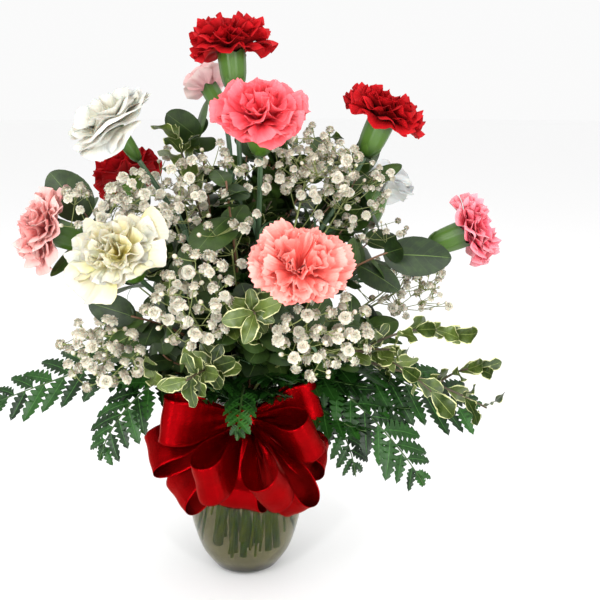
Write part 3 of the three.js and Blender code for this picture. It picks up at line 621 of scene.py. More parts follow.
# Whorls of petals from the outside in: how many, their tilt from the bloom's axis, and their half width.
# The ruffle, the fine frill and the teeth of the edge are shares of what a frilled bloom has.
LOOKS = {
    "open": dict(
        whorls=[(7, 97, 0.62), (8, 82, 0.58), (8, 66, 0.52), (7, 48, 0.46), (7, 30, 0.38), (5, 12, 0.3)],
        round=0.24, ruffle=1.3, waves=(1.6, 2.4), frill=0.16, teeth=0.05, uneven=0.06, curl=18, fold=0.4,
        loose=7, dome=3, bulge=0.6, roll=8,
    ),
    "broad": dict(
        whorls=[(5, 94, 0.86), (5, 80, 0.8), (4, 66, 0.7), (3, 48, 0.5), (4, 24, 0.34)],
        round=0.42, ruffle=0.95, waves=(1.2, 2.0), frill=0.12, teeth=0.05, uneven=0.08, curl=18, fold=0.25,
        loose=6, dome=3, bulge=0.6, roll=8,
    ),
    "lobed": dict(
        whorls=[(7, 95, 0.6), (8, 79, 0.56), (8, 62, 0.5), (7, 44, 0.44), (6, 24, 0.36)],
        round=0.24, ruffle=1.25, waves=(1.6, 2.4), frill=0.17, teeth=0.06, uneven=0.05, curl=18, fold=0.4,
        loose=7, dome=3, bulge=0.65, roll=8,
    ),
    "ruffled": dict(
        whorls=[(6, 90, 0.66), (7, 74, 0.56), (7, 55, 0.48), (6, 36, 0.4), (6, 15, 0.32)],
        round=0.28, ruffle=1.5, waves=(1.4, 2.3), frill=0.18, teeth=0.2, uneven=0.1, curl=24, fold=0.3,
        loose=12, dome=5,
    ),
    "bud": dict(
        whorls=[(6, 66, 0.62), (6, 50, 0.54), (5, 34, 0.42), (4, 16, 0.3)],
        round=0.3, ruffle=0.9, waves=(1.0, 1.8), frill=0.15, teeth=0.15, uneven=0.05, curl=0, fold=0.2,
        loose=8, dome=0,
    ),
    "full": dict(
        whorls=[(7, 89, 0.6), (8, 75, 0.52), (7, 58, 0.46), (7, 38, 0.39), (6, 16, 0.32)],
        round=0.26, ruffle=1.25, waves=(1.4, 2.2), frill=0.22, teeth=0.25, uneven=0.06, curl=16, fold=0.35,
        loose=10, dome=3,
    ),
    "frilled": dict(
        whorls=[(8, 91, 0.52), (8, 76, 0.48), (8, 58, 0.44), (7, 39, 0.39), (6, 18, 0.34)],
        round=0.2, ruffle=1.1, waves=(1.7, 2.7), frill=0.42, teeth=0.9, uneven=0.07, curl=10, fold=0.45,
        loose=11, dome=3,
    ),
}
PETAL_COLUMNS = 28
PETAL_ROWS = [0, 0.2, 0.38, 0.54, 0.68, 0.8, 0.9, 0.97, 1.0]
# How far the teeth of the edge reach, on the two rows that have them.
TEETH_REACH = {0.97: 0.008, 1.0: 0.028}
FLATTEST_TILT = radians(96)


# The throat, the way that the bloom faces, and the frame that stands there.
def stand_of(carnation):
    faces = Vector(carnation["faces"]).normalized()
    throat = Vector(carnation["at"]) - faces * (THROAT_DEPTH * carnation["across"] / USUAL_ACROSS)
    turned = UP.rotation_difference(faces).to_matrix().to_4x4()
    return throat, faces, Matrix.Translation(throat) @ turned


def add_petal(piece, stand, rng, radius, tall, tilt, azimuth, half, look):
    outer = tilt / FLATTEST_TILT
    reach = radius * rng.uniform(1 - 1.6 * look["uneven"], 1 + 0.5 * look["uneven"])
    raised = cos(tilt)
    if raised > 0:
        raised = raised ** look.get("bulge", 0.9)
    tip = Vector((reach * sin(tilt), (6 + 24 * raised) * tall + rng.uniform(-2, 2)))
    lean = tilt + radians(rng.uniform(-8, 14) + look.get("roll", 0) + look["curl"] * outer * outer)
    ahead = Vector((sin(lean), cos(lean)))
    root = Vector((mix(1.0, 3.0, outer), 1.0))
    rise = Vector((mix(2.5, 9.5, outer), mix(12, 4.5 + look["dome"], outer) * tall))
    before = tip - ahead * (0.5 * (tip - rise).length)
    out = way_out(azimuth)
    side = way_round(azimuth)
    ruffle = radius * rng.uniform(0.07, 0.1) * look["ruffle"]
    waves = rng.uniform(*look["waves"])
    fine = rng.uniform(4.5, 6.5)
    start = rng.uniform(0, 6.28)
    start_fine = rng.uniform(0, 6.28)
    skew = rng.uniform(-0.25, 0.25)
    tint = 0.4 * rng.random() + 0.6 * min(1, outer)
    notch = [rng.uniform(0.6, 1.2) * look["teeth"] for _ in range(PETAL_COLUMNS + 1)]

    def place(u, k):
        v = 2 * k / PETAL_COLUMNS - 1
        t = u * (1 - look["round"] * abs(v) ** 2.3)
        t += TEETH_REACH.get(u, 0) * notch[k] * (1 if k % 2 else -0.6)
        s = 1 - t
        flat = root * s**3 + rise * (3 * s * s * t) + before * (3 * s * t * t) + tip * t**3
        slope = (rise - root) * (s * s) + (before - rise) * (2 * s * t) + (tip - before) * (t * t)
        slope.normalize()
        rise_by = ruffle * smooth(0.1, 1.0, t) ** 1.3
        phase = waves * pi * v + start
        lift = rise_by * (sin(phase) + look["frill"] * sin(fine * pi * v + start_fine))
        width = radius * half * (0.12 + 0.88 * smooth(0.12, 0.9, u))
        x = width * (v + skew * v * v * t) + look["fold"] * rise_by * cos(phase)
        rho = flat.x - lift * slope.y
        z = flat.y + lift * slope.x
        return stand @ (out * rho + side * x + UP * z), t, (v + 1) / 2

    piece.surface(PETAL_ROWS, range(PETAL_COLUMNS + 1), place, tint)


def build_bloom(carnation, seed):
    piece = Piece()
    rng = random.Random(1000 + seed)
    stand = stand_of(carnation)[2]
    turned = stand.to_3x3()
    look = LOOKS[carnation["look"]]
    uneven = look["uneven"]
    radius = carnation["across"] / 2
    tall = (1 + carnation["across"] / USUAL_ACROSS) / 2
    for ring, (count, tilt, half) in enumerate(look["whorls"]):
        for k in range(count):
            azimuth = FULL_TURN * (k + 0.5 * (ring % 2)) / count + seed + rng.uniform(-0.22, 0.22)
            each = radians(tilt + look["loose"] * rng.uniform(-1, 1))
            spread = 1 + uneven * sin(2 * azimuth + seed) + uneven * sin(3 * azimuth)
            out = turned @ way_out(azimuth)
            spread *= carnation.get("inner", 1) * (1 - carnation.get("low", 0) * out.z * out.z)
            rise = tall * (1 + carnation.get("cleft", 0) * cos(2 * azimuth))
            add_petal(piece, stand, rng, radius * spread, rise, each, azimuth, half, look)
    for hang, tilt, length in carnation.get("hanging", []):
        way = turned.inverted() @ Vector(hang)
        azimuth = atan2(way.y, way.x)
        half = look["whorls"][0][2]
        add_petal(piece, stand, rng, radius * length, tall, radians(tilt), azimuth, half, look)
    material = PETALS[carnation.get("petals", carnation["tone"])]
    bloom = piece.make("bloom_" + carnation["name"] + "_petals", [material])
    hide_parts("bloom_" + carnation["name"])


# A narrow leaf that curls back, on a carnation's stem.
def add_narrow_leaf(piece, base, along, out, length, rng):
    side = along.cross(out).normalized()
    tint = rng.random()
    curl = rng.uniform(0.8, 1.6)

    def place(s, v):
        turn = 0.35 + curl * s * s
        point = base + (along * cos(turn * 0.8) + out * sin(turn * 0.8)) * (length * s)
        half = 2.3 * sin(pi * min(1, 0.16 + 0.84 * s)) ** 0.7
        face = out * cos(turn) - along * sin(turn)
        return point + side * (half * v) + face * (0.5 * abs(v)), s, (v + 1) / 2

    piece.surface(shares(10), (-1, 0, 1), place, tint, 1)


# The calyx: a ribbed tube with five teeth, over four small scales at its foot.
CALYX_SIDES = 40
CALYX_PROFILE = [
    (2.2, -28.5), (5.0, -27.4), (7.6, -24.5), (9.4, -20), (10.5, -14), (11.0, -7), (11.2, -2), (11.2, 1),
]
# The swollen joints along the stem, where its leaves stand.
LEAF_KNOBS = (0.3, 0.62)


def add_calyx(piece, stand, slim, seed):
    def tube_place(i, k):
        turn = FULL_TURN * k / CALYX_SIDES
        rib = 1 + 0.02 * cos(10 * turn)
        if i < len(CALYX_PROFILE):
            r, height = CALYX_PROFILE[i]
        else:
            tooth = abs((5 * k / CALYX_SIDES) % 1 - 0.5) * 2
            r = CALYX_PROFILE[-1][0]
            height = 1.4 + 4.6 * (1 - tooth) ** 1.3
            rib *= 1 + 0.03 * (1 - tooth)
        out = way_out(turn) * (slim * r * rib)
        u = (height + CALYX_LENGTH) / (CALYX_LENGTH + 6)
        return stand @ (out + UP * height), u, 2 * k / CALYX_SIDES

    piece.surface(range(len(CALYX_PROFILE) + 1), range(CALYX_SIDES), tube_place, 0.5, 2, closed=True)
    for k in range(4):
        turn = pi * k / 2 + seed

        def scale_place(s, v):
            z = mix(-28.4, -17, s)
            r = slim * radius_at(CALYX_PROFILE, z) + 0.5
            x = 5.2 * slim * (1 - s) ** 0.55 * v
            out = way_out(turn) * sqrt(max(r * r - x * x, 1))
            return stand @ (out + way_round(turn) * x + UP * z), 0.5 * s, v / 2 + 0.5

        piece.surface(shares(5), (-1, -0.5, 0, 0.5, 1), scale_place, 0.5, 2)


def build_carnation_stem(carnation, seed):
    piece = Piece()
    rng = random.Random(2000 + seed)
    throat, faces, stand = stand_of(carnation)
    end = throat + faces * (IN_CALYX - CALYX_LENGTH)
    stem = dict(carnation, foot=13 + 5 * carnation["ring"], end=end, along=faces)
    bend = add_stem(piece, stem, 2.4, 2.0, 10, slot=0, knobs=LEAF_KNOBS)
    add_calyx(piece, stand, carnation.get("slim", 1), seed)
    for at in LEAF_KNOBS:
        along = bend.tangent(at)
        side = along.cross(Vector((0.3, 0.2, 1))).normalized()
        out = Quaternion(along, rng.uniform(0, pi)) @ side
        for way in (1, -1):
            add_narrow_leaf(piece, bend.point(at), along, out * way, rng.uniform(34, 52), rng)
    made = piece.make("stem_" + carnation["name"] + "_green", [CARNATION_GREEN, CARNATION_LEAF, CALYX_GREEN])
    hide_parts("stem_" + carnation["name"])


for number, carnation in enumerate(CARNATIONS):
    build_bloom(carnation, number + 1)
    build_carnation_stem(carnation, number + 1)

# Leaves

# A point of the part counts as found when it is this near.
NEAR = 0.15
# Half the thickness of a waved leaf of the part, whose points stand that far off the leaf's middle.
SOLID_LEAF_HALF = 0.35
# Small leaves and florets keep above the lip of the vase, and the twigs' leaves behind the front blooms.
LEAVES_FROM_Z = 172
TWIG_LEAVES_FROM_Z = 176
TWIG_LEAVES_FROM_Y = -104
FLORETS_FROM_Z = 178


# The points of a CAD node, to find which of the leaves and puffs that its rule allows are there.
def points_of(name):
    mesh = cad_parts[name].data
    tree = kdtree.KDTree(len(mesh.vertices))
    for vertex in mesh.vertices:
        tree.insert(vertex.co / MM, vertex.index)
    tree.balance()
    return tree


def is_there(tree, point):
    return tree.find(point)[2] < NEAR


def leaf_axes(base, tip, back):
    reach = tip - base
    along = reach.normalized()
    across = along.cross(back).normalized()
    return reach, across, across.cross(along)


LEAF_ROWS = [0, 0.04, 0.11, 0.2, 0.31, 0.43, 0.56, 0.68, 0.79, 0.88, 0.95, 0.985, 1]


# How wide a leaf is along it, as a share of its widest: a larger power moves the widest place outwards.
def leaf_shape(s, power, blunt):
    return max(sin(pi * s**power) if 0 < s < 1 else 0, 0.002) ** blunt


def add_round_leaf(piece, base, tip, back, width, rng):
    reach, across, over = leaf_axes(base, tip, back)
    ripple = rng.uniform(-0.06, 0.06) * width
    start = rng.uniform(0, 6.28)
    tint = rng.random()
    blunt = rng.uniform(0.46, 0.56)

    def place(s, k):
        half = 0.5 * width * leaf_shape(s, 0.94, blunt)
        v = k / 4 - 1
        lift = 10 * s * (1 - s) - 0.15 * half * abs(v) + ripple * sin(7 * s + start) * v * v
        lift += 0.5 * ripple * sin(3 * s + start) * v
        return base + reach * s + across * (half * v) + over * lift, s, (v + 1) / 2

    piece.surface(LEAF_ROWS, range(9), place, tint)


# Widest past the middle, with a rounded tip and a waved edge.
def add_waved_leaf(piece, base, tip, back, width, rng):
    reach, across, over = leaf_axes(base, tip, back)
    start = rng.uniform(0, 6.28)
    curl = rng.uniform(-1.5, 3)
    tint = rng.random()

    def place(s, k):
        half = 0.54 * width * (leaf_shape(s, 1.25, 0.6) * (1 + 0.08 * sin(15 * s + start)))
        v = k / 3 - 1
        bow = 8 * s * (1 - s) - curl * s * s
        wave = 3.0 * sin(11 * s + start + (2 if v > 0 else 0))
        lift = bow + wave * v * v * sin(pi * s) + 0.12 * half * abs(v)
        return base + reach * s + across * (half * v) + over * lift, s, (v + 1) / 2

    piece.surface(LEAF_ROWS, range(7), place, tint)


TURNS = 8
GOLDEN_TURN = 2.4


def leaf_from(bend, u, length, spread, turn):
    base = bend.on_runs(u)
    along = bend.tangent(u)
    side = along.cross(UP).normalized()
    over = side.cross(along)
    out = side * cos(turn) + over * sin(turn)
    return base, base + (along * cos(spread) + out * sin(spread)) * length, along


# The leaves that stand round the stem by a rule, each at the turn where the part has it.
def ruled_leaves(bend, tree, kind, sprig):
    found = []
    seed = sprig["seed"]
    begins = sprig.get("begins", kind["begins"])
    for k in range(kind["count"]):
        u = begins + (kind["ends"] - begins) * k / (kind["count"] - 1)
        size = 0.8 + 0.35 * draw(seed, 2 * k)
        lean = kind["spread"] * (0.8 + 0.4 * draw(seed, 2 * k + 1))
        for step in range(TURNS):
            turn = GOLDEN_TURN * k + seed + FULL_TURN * step / TURNS
            base, tip, back = leaf_from(bend, u, kind["length"] * size, lean, turn)
            over = leaf_axes(base, tip, back)[2]
            if any(is_there(tree, tip + over * off) for off in (0, SOLID_LEAF_HALF, -SOLID_LEAF_HALF)):
                found.append((base, tip, back, kind["width"] * size))
                break
    return found


BLOOM_BALLS = [(Vector(c["at"]), c["across"] / 2) for c in CARNATIONS]


# True where a point keeps clear of every bloom.
def off_blooms(point, room=4):
    return all((point - centre).length > radius + room for centre, radius in BLOOM_BALLS)


# A side twig with leaves by turns on either side of it.
def add_fork(piece, kind, bend, fork, rng):
    u, tip, count, length = fork
    start = bend.on_runs(u)
    end = Vector(tip)
    lift = UP * (0.16 * (end - start).length)
    twig = Bend(start, start.lerp(end, 0.33) + lift, start.lerp(end, 0.7) + lift, end)
    piece.tube([twig.point(t) for t in shares(8)], [mix(1.1, 0.6, t) for t in shares(8)], 6, 1)
    for k in range(count):
        u = mix(0.35, 1, k / (count - 1))
        size = length * rng.uniform(0.85, 1.12)
        spread = rng.uniform(0.5, 1.0)
        base, tip, back = leaf_from(twig, u, size, spread, pi * k + rng.uniform(-0.5, 0.5))
        kind["add_leaf"](piece, base, tip, back, size * kind["small_shape"], rng)


def build_sprig(kind, sprig):
    piece = Piece()
    name = kind["name"] + "_" + sprig["name"]
    rng = random.Random(3000 + sprig["seed"])
    bend = add_stem(piece, sprig, kind["radius"], 0.8, 7)
    add_leaf = kind["add_leaf"]
    for u, tip, width, back in sprig.get("leaves", []):
        add_leaf(piece, bend.on_runs(u), Vector(tip), Vector(back), width, rng)
    for base, tip, back, width in ruled_leaves(bend, points_of(name), kind, sprig):
        add_leaf(piece, base, tip, back, width, rng)
    for fork in sprig.get("forks", []):
        add_fork(piece, kind, bend, fork, rng)
    for k in range(kind["small_leaves"]):
        u = mix(kind["small_from"], 0.98, k / (kind["small_leaves"] - 1))
        size = kind["small_size"] * rng.uniform(0.7, 1.15)
        spread = rng.uniform(0.7, 1.2)
        base, tip, back = leaf_from(bend, u, size, spread, GOLDEN_TURN * k + rng.uniform(-0.3, 0.3))
        if off_blooms(tip) and tip.z > LEAVES_FROM_Z:
            add_leaf(piece, base, tip, back, size * kind["small_shape"], rng)
    made = piece.make(name + "_leaves", kind["materials"])
    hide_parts(name)


# A sprig has leaves at places of their own, as (place along the stem, tip, width, the way that the leaf's
# back looks), then leaves by the rule of its kind, forks as (place along the stem, tip, leaves, size), and
# small leaves.
EUCALYPTUS_KIND = dict(
    name="eucalyptus", radius=1.5, add_leaf=add_round_leaf, materials=[EUCALYPTUS_LEAF, EUCALYPTUS_STEM],
    count=4, begins=0.45, ends=0.92, length=34, width=29, spread=radians(62),
    small_leaves=9, small_from=0.3, small_size=25, small_shape=0.86,
)
EUCALYPTUS = [
    stem_of("left", 3, 10, 26, (-130, 14, 308), (-0.5, 0.1, 0.85), seed=1, leaves=[
        (0.97, (-157, 20, 340), 36, (0, -1, 0.3)), (0.9, (-152, -26, 262), 16, (0, -0.5, 1)),
    ]),
    stem_of("top", 3, 9, 24, (-36, 22, 374), (-0.2, 0, 1), seed=2, leaves=[
        (0.97, (-60, 4, 388), 25, (0, -1, 0.2)), (0.97, (-28, 30, 398), 18, (-1, -0.5, 0)),
    ]),
    stem_of("middle", 1, 4, 16, (-12, -58, 340), (-0.1, -0.2, 1), seed=3, leaves=[
        (0.86, (-34, -96, 292), 34, (-0.4, -1, 0.3)), (0.97, (6, -72, 330), 12, (0, -1, 0)),
    ]),
    stem_of("right", 3, 22, 26, (114, -48, 283), (0.9, -0.2, 0.35), seed=4, leaves=[
        (0.97, (162, -55, 279), 34, (0, -1, 0.6)), (0.85, (118, -76, 258), 22, (0, -1, 0.6)),
    ]),
    stem_of("upper_right", 1, 1, 16, (98, 24, 342), (0.3, 0, 0.9), seed=5, leaves=[
        (0.97, (112, 26, 372), 22, (0, -1, 0)), (0.9, (134, 26, 344), 16, (0, -0.8, 0.6)),
    ]),
    stem_of("lower_left", 3, 14, 28, (-84, -82, 242), (-0.8, -0.4, 0.3), seed=36, leaves=[
        (0.97, (-114, -88, 254), 24, (0, -1, 0.4)), (0.85, (-72, -108, 226), 20, (0, -1, 0.4)),
    ]),
    stem_of("back", 2, 3, 26, (30, 96, 300), (0.2, 0.6, 0.8), seed=7, leaves=[
        (0.97, (40, 122, 330), 32, (0, 1, 0.4)),
    ]),
]
PITTOSPORUM_KIND = dict(
    name="pittosporum", radius=1.4, add_leaf=add_waved_leaf, materials=[PITTOSPORUM_LEAF, TWIG_STEM],
    count=6, begins=0.6, ends=0.98, length=26, width=12, spread=radians(52),
    small_leaves=14, small_from=0.4, small_size=24, small_shape=0.5,
)
PITTOSPORUM = [
    stem_of("top_left", 2, 4, 26, (-52, -8, 372), (-0.3, -0.1, 1), seed=11, begins=0.72),
    stem_of("front", 2, 9, 26, (8, -122, 252), (0.1, -1, 0), seed=12),
    stem_of("front_left", 3, 15, 24, (-42, -118, 202), (-0.6, -0.8, -0.2), seed=13),
    stem_of(
        "front_right", 3, 19, 24, (112, -92, 216), (0.8, -0.5, 0.1), seed=14,
        forks=[(0.85, (158, -84, 226), 7, 26), (0.7, (140, -104, 186), 5, 26)],
    ),
    stem_of(
        "right", 3, 1, 26, (196, -48, 154), (0.85, 0, -0.5), seed=15, begins=0.62,
        forks=[(0.8, (186, -60, 190), 5, 24)],
    ),
    stem_of("back", 3, 7, 26, (-70, 100, 240), (-0.5, 0.8, 0.3), seed=16),
]

for sprig in EUCALYPTUS:
    build_sprig(EUCALYPTUS_KIND, sprig)
for sprig in PITTOSPORUM:
    build_sprig(PITTOSPORUM_KIND, sprig)

# Fern fronds: pinnae down both sides of a rib, each with toothed leaflets.

BLADE_FROM = 0.42
SHORT_BLADE_FROM = 0.32
FERN_DROOP = 0.16
PINNA_LEAN = radians(58)
# How deep the edge is cut on each step along a lobe, as a share of the deepest.
LOBE_CUTS = (1.0, 0.22, 0.02, 0.0, 0.3)
LOBE_LENGTH = 4.4
# The pinnae stand along this share of the blade, and one more ends it.
PINNAE_SHARE = 0.86


# The half width along a leaflet, which is widest below its middle.
def pinna_width(s):
    return (0.35 + 0.65 * smooth(0, 0.16, s)) * (1 - s) ** 0.62 * (1 + 0.9 * s)


def add_frond(piece, bend, wing, roll, pairs, blade_from, seed, stout=0.26):
    rng = random.Random(4000 + seed)
    marks = [bend.point(mix(blade_from, 1, t)) for t in shares(40)]
    length = sum((b - a).length for a, b in zip(marks, marks[1:]))

    def place(x, y, lift):
        u = min(1.0, mix(blade_from, 1, x / length))
        along = bend.tangent(u)
        side = Quaternion(along, radians(roll)) @ along.cross(UP).normalized()
        face = side.cross(along)
        return bend.point(u) - side * y + face * (lift - FERN_DROOP * y * y / wing)

    def add_pinna(start, direction, size, width, lobes, depth, bend_by):
        tint = rng.random()
        across = Vector((-direction.y, direction.x))
        droop = rng.uniform(0.5, 3.5)
        twist = rng.uniform(-0.25, 0.25)
        per_lobe = len(LOBE_CUTS)
        count = lobes * per_lobe

        def pinna_place(i, v):
            s = i / count
            cut = LOBE_CUTS[i % per_lobe]
            deep = mix(depth, 0.34, smooth(0.2, 0.8, s))
            half = width * pinna_width(s) * (1 - deep * cut) if i < count else 0.05
            middle = start + direction * (size * s) + Vector((bend_by * size * s * s, 0))
            slant = (0.55 - 0.2 * ((i % per_lobe) / per_lobe)) * size / lobes * abs(v)
            spot = middle + across * (v * half) + direction * slant
            lift = 0.16 * half * abs(v) - droop * s * s + twist * half * v + 0.35 * (1 - cut) * abs(v)
            return place(spot.x, spot.y, lift), s, (v + 1) / 2

        piece.surface(range(count + 1), (-1, -0.5, 0, 0.5, 1), pinna_place, tint)

    pitch = 0.9 * length / pairs
    for i in range(pairs):
        root = pitch * (i + 0.4)
        fifth = root / (PINNAE_SHARE * length / 5) - 0.45
        size = wing * (0.34 + 0.66 * max(0, sin(pi * min(6.3, fifth + 1.5) / 6.6)))
        far = i / pairs
        for side in (-1, 1):
            lean = PINNA_LEAN + rng.uniform(-0.14, 0.14) - 0.22 * far
            direction = Vector((cos(lean), side * sin(lean)))
            start = Vector((root + (0.42 * pitch if side > 0 else 0), 0))
            each = size * rng.uniform(0.9, 1.08)
            width = min(0.6 * pitch, stout * each)
            lobes = max(5, round(each / LOBE_LENGTH))
            add_pinna(start, direction, each, width, lobes, mix(0.72, 0.45, far), 0.16)
    end = Vector((PINNAE_SHARE * length, 0))
    add_pinna(end, Vector((1, 0)), 0.14 * length, min(6, 0.16 * wing), 5, 0.3, 0)
    ribs = [bend.point(mix(blade_from, 1, t)) for t in shares(16)]
    piece.tube(ribs, [mix(1.2, 0.4, t) for t in shares(16)], 5, 1)


FERNS = [
    stem_of("left", 3, 11, 24, (-208, -24, 156), (-0.95, 0, -0.35), wing=30, roll=-42),
    stem_of(
        "front_left", 3, 12, 26, (-113, -76, 126), (-0.25, -0.1, -1), wing=26, roll=-35, rise=0.6, reach=0.5,
    ),
    stem_of("front", 3, 17, 24, (-6, -118, 156), (-0.1, -0.6, -0.8), wing=14, roll=0, stout=0.42),
    stem_of("front_right", 3, 21, 26, (92, -30, 90), (0.1, 0, -1), wing=24, roll=50, rise=0.8, reach=0.6),
    stem_of("right_low", 3, 20, 24, (145, -58, 92), (0.5, -0.1, -0.9), wing=30, roll=40, rise=0.6),
    stem_of("right", 3, 23, 26, (198, -24, 138), (0.9, 0, -0.4), wing=36, roll=42),
    stem_of("back", 3, 4, 24, (30, 150, 150), (0.2, 0.8, -0.6), wing=36, roll=0),
]


def build_fern(fern, seed):
    piece = Piece()
    stem = dict({"rise": 0.45, "reach": 0.4}, **fern)
    bend = add_stem(piece, stem, 1.3, 1.3, 7, upto=BLADE_FROM)
    add_frond(piece, bend, fern["wing"], fern["roll"], 8, BLADE_FROM, seed, fern.get("stout", 0.26))
    made = piece.make("fern_" + fern["name"] + "_frond", [FERN_LEAF, FERN_STEM])
    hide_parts("fern_" + fern["name"])


for number, fern in enumerate(FERNS):
    build_fern(fern, number)

# Shorter fronds between the stems, most of them low in the bunch: the turn round the neck, how far out
# and how high the tip is, and the wing.
FILLERS = [
    (-52, 78, 188, 26), (-64, 72, 186, 24), (-40, 74, 182, 24), (-150, 68, 168, 24), (-130, 66, 170, 24),
    (-110, 64, 172, 24), (-90, 64, 170, 24), (-70, 64, 172, 24), (-50, 66, 170, 24), (-30, 72, 168, 24),
    (-165, 74, 168, 24), (-12, 146, 178, 32), (-30, 112, 176, 30), (196, 128, 180, 30), (70, 84, 158, 28),
    (98, 92, 150, 28), (126, 86, 158, 28), (156, 98, 162, 28), (24, 98, 162, 28), (-140, 66, 184, 24),
    (-44, 66, 186, 24), (-160, 96, 196, 30), (-132, 84, 214, 28), (-112, 92, 188, 30), (-96, 78, 206, 26),
    (-76, 88, 192, 28), (-58, 84, 214, 28), (-38, 100, 196, 30), (-16, 108, 206, 30), (8, 96, 226, 28),
    (34, 92, 200, 30), (62, 90, 216, 30), (96, 92, 196, 30), (126, 88, 220, 28), (152, 96, 200, 30),
    (178, 104, 214, 30), (-14, 140, 150, 28), (-34, 116, 142, 26), (-145, 62, 262, 24), (-90, 52, 268, 22),
    (-30, 62, 270, 24), (40, 60, 272, 24), (110, 62, 266, 24),
]
# Above this height a frond stands up, and below it a frond leans out.
UPRIGHT_FROM_Z = 240


def build_fillers():
    piece = Piece()
    for number, (turn, out, height, wing) in enumerate(FILLERS):
        angle = radians(turn)
        away = way_out(angle)
        rising = UP * (0.1 if height < UPRIGHT_FROM_Z else 0.7)
        stem = stem_of("short", 3, 0, 92, away * out + UP * height, away + rising, rise=0.5)
        bend = add_stem(piece, stem, 1.1, 0.9, 6, upto=0.35, line=place_in_neck(19, angle))
        add_frond(piece, bend, wing, 0, 6, SHORT_BLADE_FROM, 50 + number)
    made = piece.make("fern_short_fronds", [FERN_LEAF, FERN_STEM])


build_fillers()

# Baby's breath

# The rule of the part's source for the puffs: how many branches and puffs there are, how often each is
# tried, and how far round a branch's end its puffs stand.
PUFF_RADIUS = 5.4
PUFF_REACH = 18
BRANCHES = 3
BRANCH_TRIES = 14
PUFFS_ROUND = 3
PUFF_TRIES = 4
FLORET_TRIES = 900
BUD_SHARE = 0.14
FORK_SHARE = 0.6
# A spray's heart is its middle and its size the half widths round it. It has more florets than the puffs,
# with radii in a range of its own.
SPRAYS = [
    stem_of(
        "low_left", 3, 13, 26, (-78, -62, 206), (-0.6, -0.5, 0.5),
        heart=(-104, -92, 218), size=(28, 20, 26), seed=21, more=40, puff=(3.6, 5.2),
    ),
    stem_of(
        "front_left", 3, 16, 26, (-40, -92, 250), (-0.2, -0.5, 0.8),
        heart=(-40, -112, 262), size=(32, 22, 34), seed=22, more=46, puff=(3.8, 5.4),
    ),
    stem_of(
        "upper_left", 2, 7, 20, (-54, -40, 310), (-0.3, -0.2, 0.9),
        heart=(-66, -56, 322), size=(38, 26, 28), seed=23, more=52, puff=(3.6, 5.2),
    ),
    stem_of(
        "upper_right", 2, 11, 20, (50, -20, 336), (0.2, -0.1, 1),
        heart=(56, -34, 352), size=(30, 26, 26), seed=24, more=64, puff=(2.8, 4.4),
    ),
    stem_of(
        "front_right", 3, 18, 26, (46, -92, 222), (0.2, -0.6, 0.6),
        heart=(58, -116, 234), size=(32, 20, 30), seed=25, more=46, puff=(3.8, 5.4),
    ),
    stem_of(
        "right", 3, 0, 26, (130, -10, 246), (0.8, 0, 0.6),
        heart=(144, -18, 258), size=(30, 26, 32), seed=26, more=40, puff=(2.4, 3.8),
    ),
    stem_of(
        "back", 3, 6, 26, (-16, 84, 270), (-0.1, 0.6, 0.8),
        heart=(-18, 98, 282), size=(62, 28, 40), seed=27, more=64, puff=(3.2, 4.8),
    ),
]


# Rings round the way that a floret faces, as (height, radius, u), where height and radius are shares of
# the floret's radius.
def add_rings(piece, centre, turned, radius, rings, sides, tint=0.5, slot=0, wound=True):
    def place(ring, k):
        height, share, u = ring
        out = way_out(FULL_TURN * k / sides) * (radius * share)
        return centre + turned @ (out + UP * (height * radius)), u, k / sides if wound else 0.5

    piece.surface(rings, range(sides), place, tint, slot, closed=True)


# A double floret: whorls of small cupped petals that close up to a ball, on a green cone.
FLORET_WHORLS = [(7, 112), (8, 86), (8, 60), (6, 36), (3, 14)]
FLORET_ROWS = [(0.15, 0.12), (0.68, 0.38), (0.92, 0.34), (1.0, 0.16)]
FLORET_CORE = [(-0.5, 0.42, 0.7), (-0.1, 0.68, 0.7), (0.35, 0.6, 0.7), (0.68, 0.1, 0.7)]
FLORET_CONE = [(-1.0, 0.1, 0.5), (-0.6, 0.24, 0.5), (-0.15, 0.3, 0.5)]
BUD_RINGS = [(-1.2, 0.1, 0.02), (-0.5, 0.75, 0.3), (0.2, 1, 0.58), (0.9, 0.75, 0.86), (1.3, 0.08, 1.02)]


def add_floret(piece, centre, direction, radius, rng):
    turned = UP.rotation_difference(direction)
    start = rng.uniform(0, 6.28)
    tint = rng.random()
    for ring, (count, tilt) in enumerate(FLORET_WHORLS):
        for k in range(count):
            turn = start + FULL_TURN * (k + 0.5 * ring) / count + rng.uniform(-0.2, 0.2)
            lean = radians(tilt + rng.uniform(-10, 10))
            long = radius * rng.uniform(0.86, 1.06)
            out = way_out(turn)
            side = way_round(turn)

            def place(row, v):
                u, half = row
                each = lean * u**0.6
                middle = (out * sin(each) + UP * cos(each)) * (long * u)
                cup = 0.14 * radius * (abs(v) - 1) if u == 1.0 else 0
                point = middle + side * (radius * half * v) + UP * cup
                return centre + turned @ point, u, (v + 1) / 2

            piece.surface(FLORET_ROWS, (-1, 0, 1), place, tint)
    add_rings(piece, centre, turned, radius, FLORET_CORE, 7, tint)
    add_rings(piece, centre, turned, radius, FLORET_CONE, 5, slot=1, wound=False)


# A closed bud: a small white egg in a green cup.
def add_bud(piece, centre, direction, radius):
    turned = UP.rotation_difference(direction)
    add_rings(piece, centre, turned, radius, BUD_RINGS[1:], 6)
    add_rings(piece, centre, turned, radius, BUD_RINGS[:2], 6, slot=1)


def drawn_point(centre, size, seed, index):
    around = FULL_TURN * draw(seed, index)
    height = 2 * draw(seed, index + 1) - 1
    share = 0.45 + 0.55 * draw(seed, index + 2)
    level = sqrt(1 - height * height)
    offset = (level * cos(around), level * sin(around), height)
    return Vector([c + o * s * share for c, o, s in zip(centre, offset, size)])


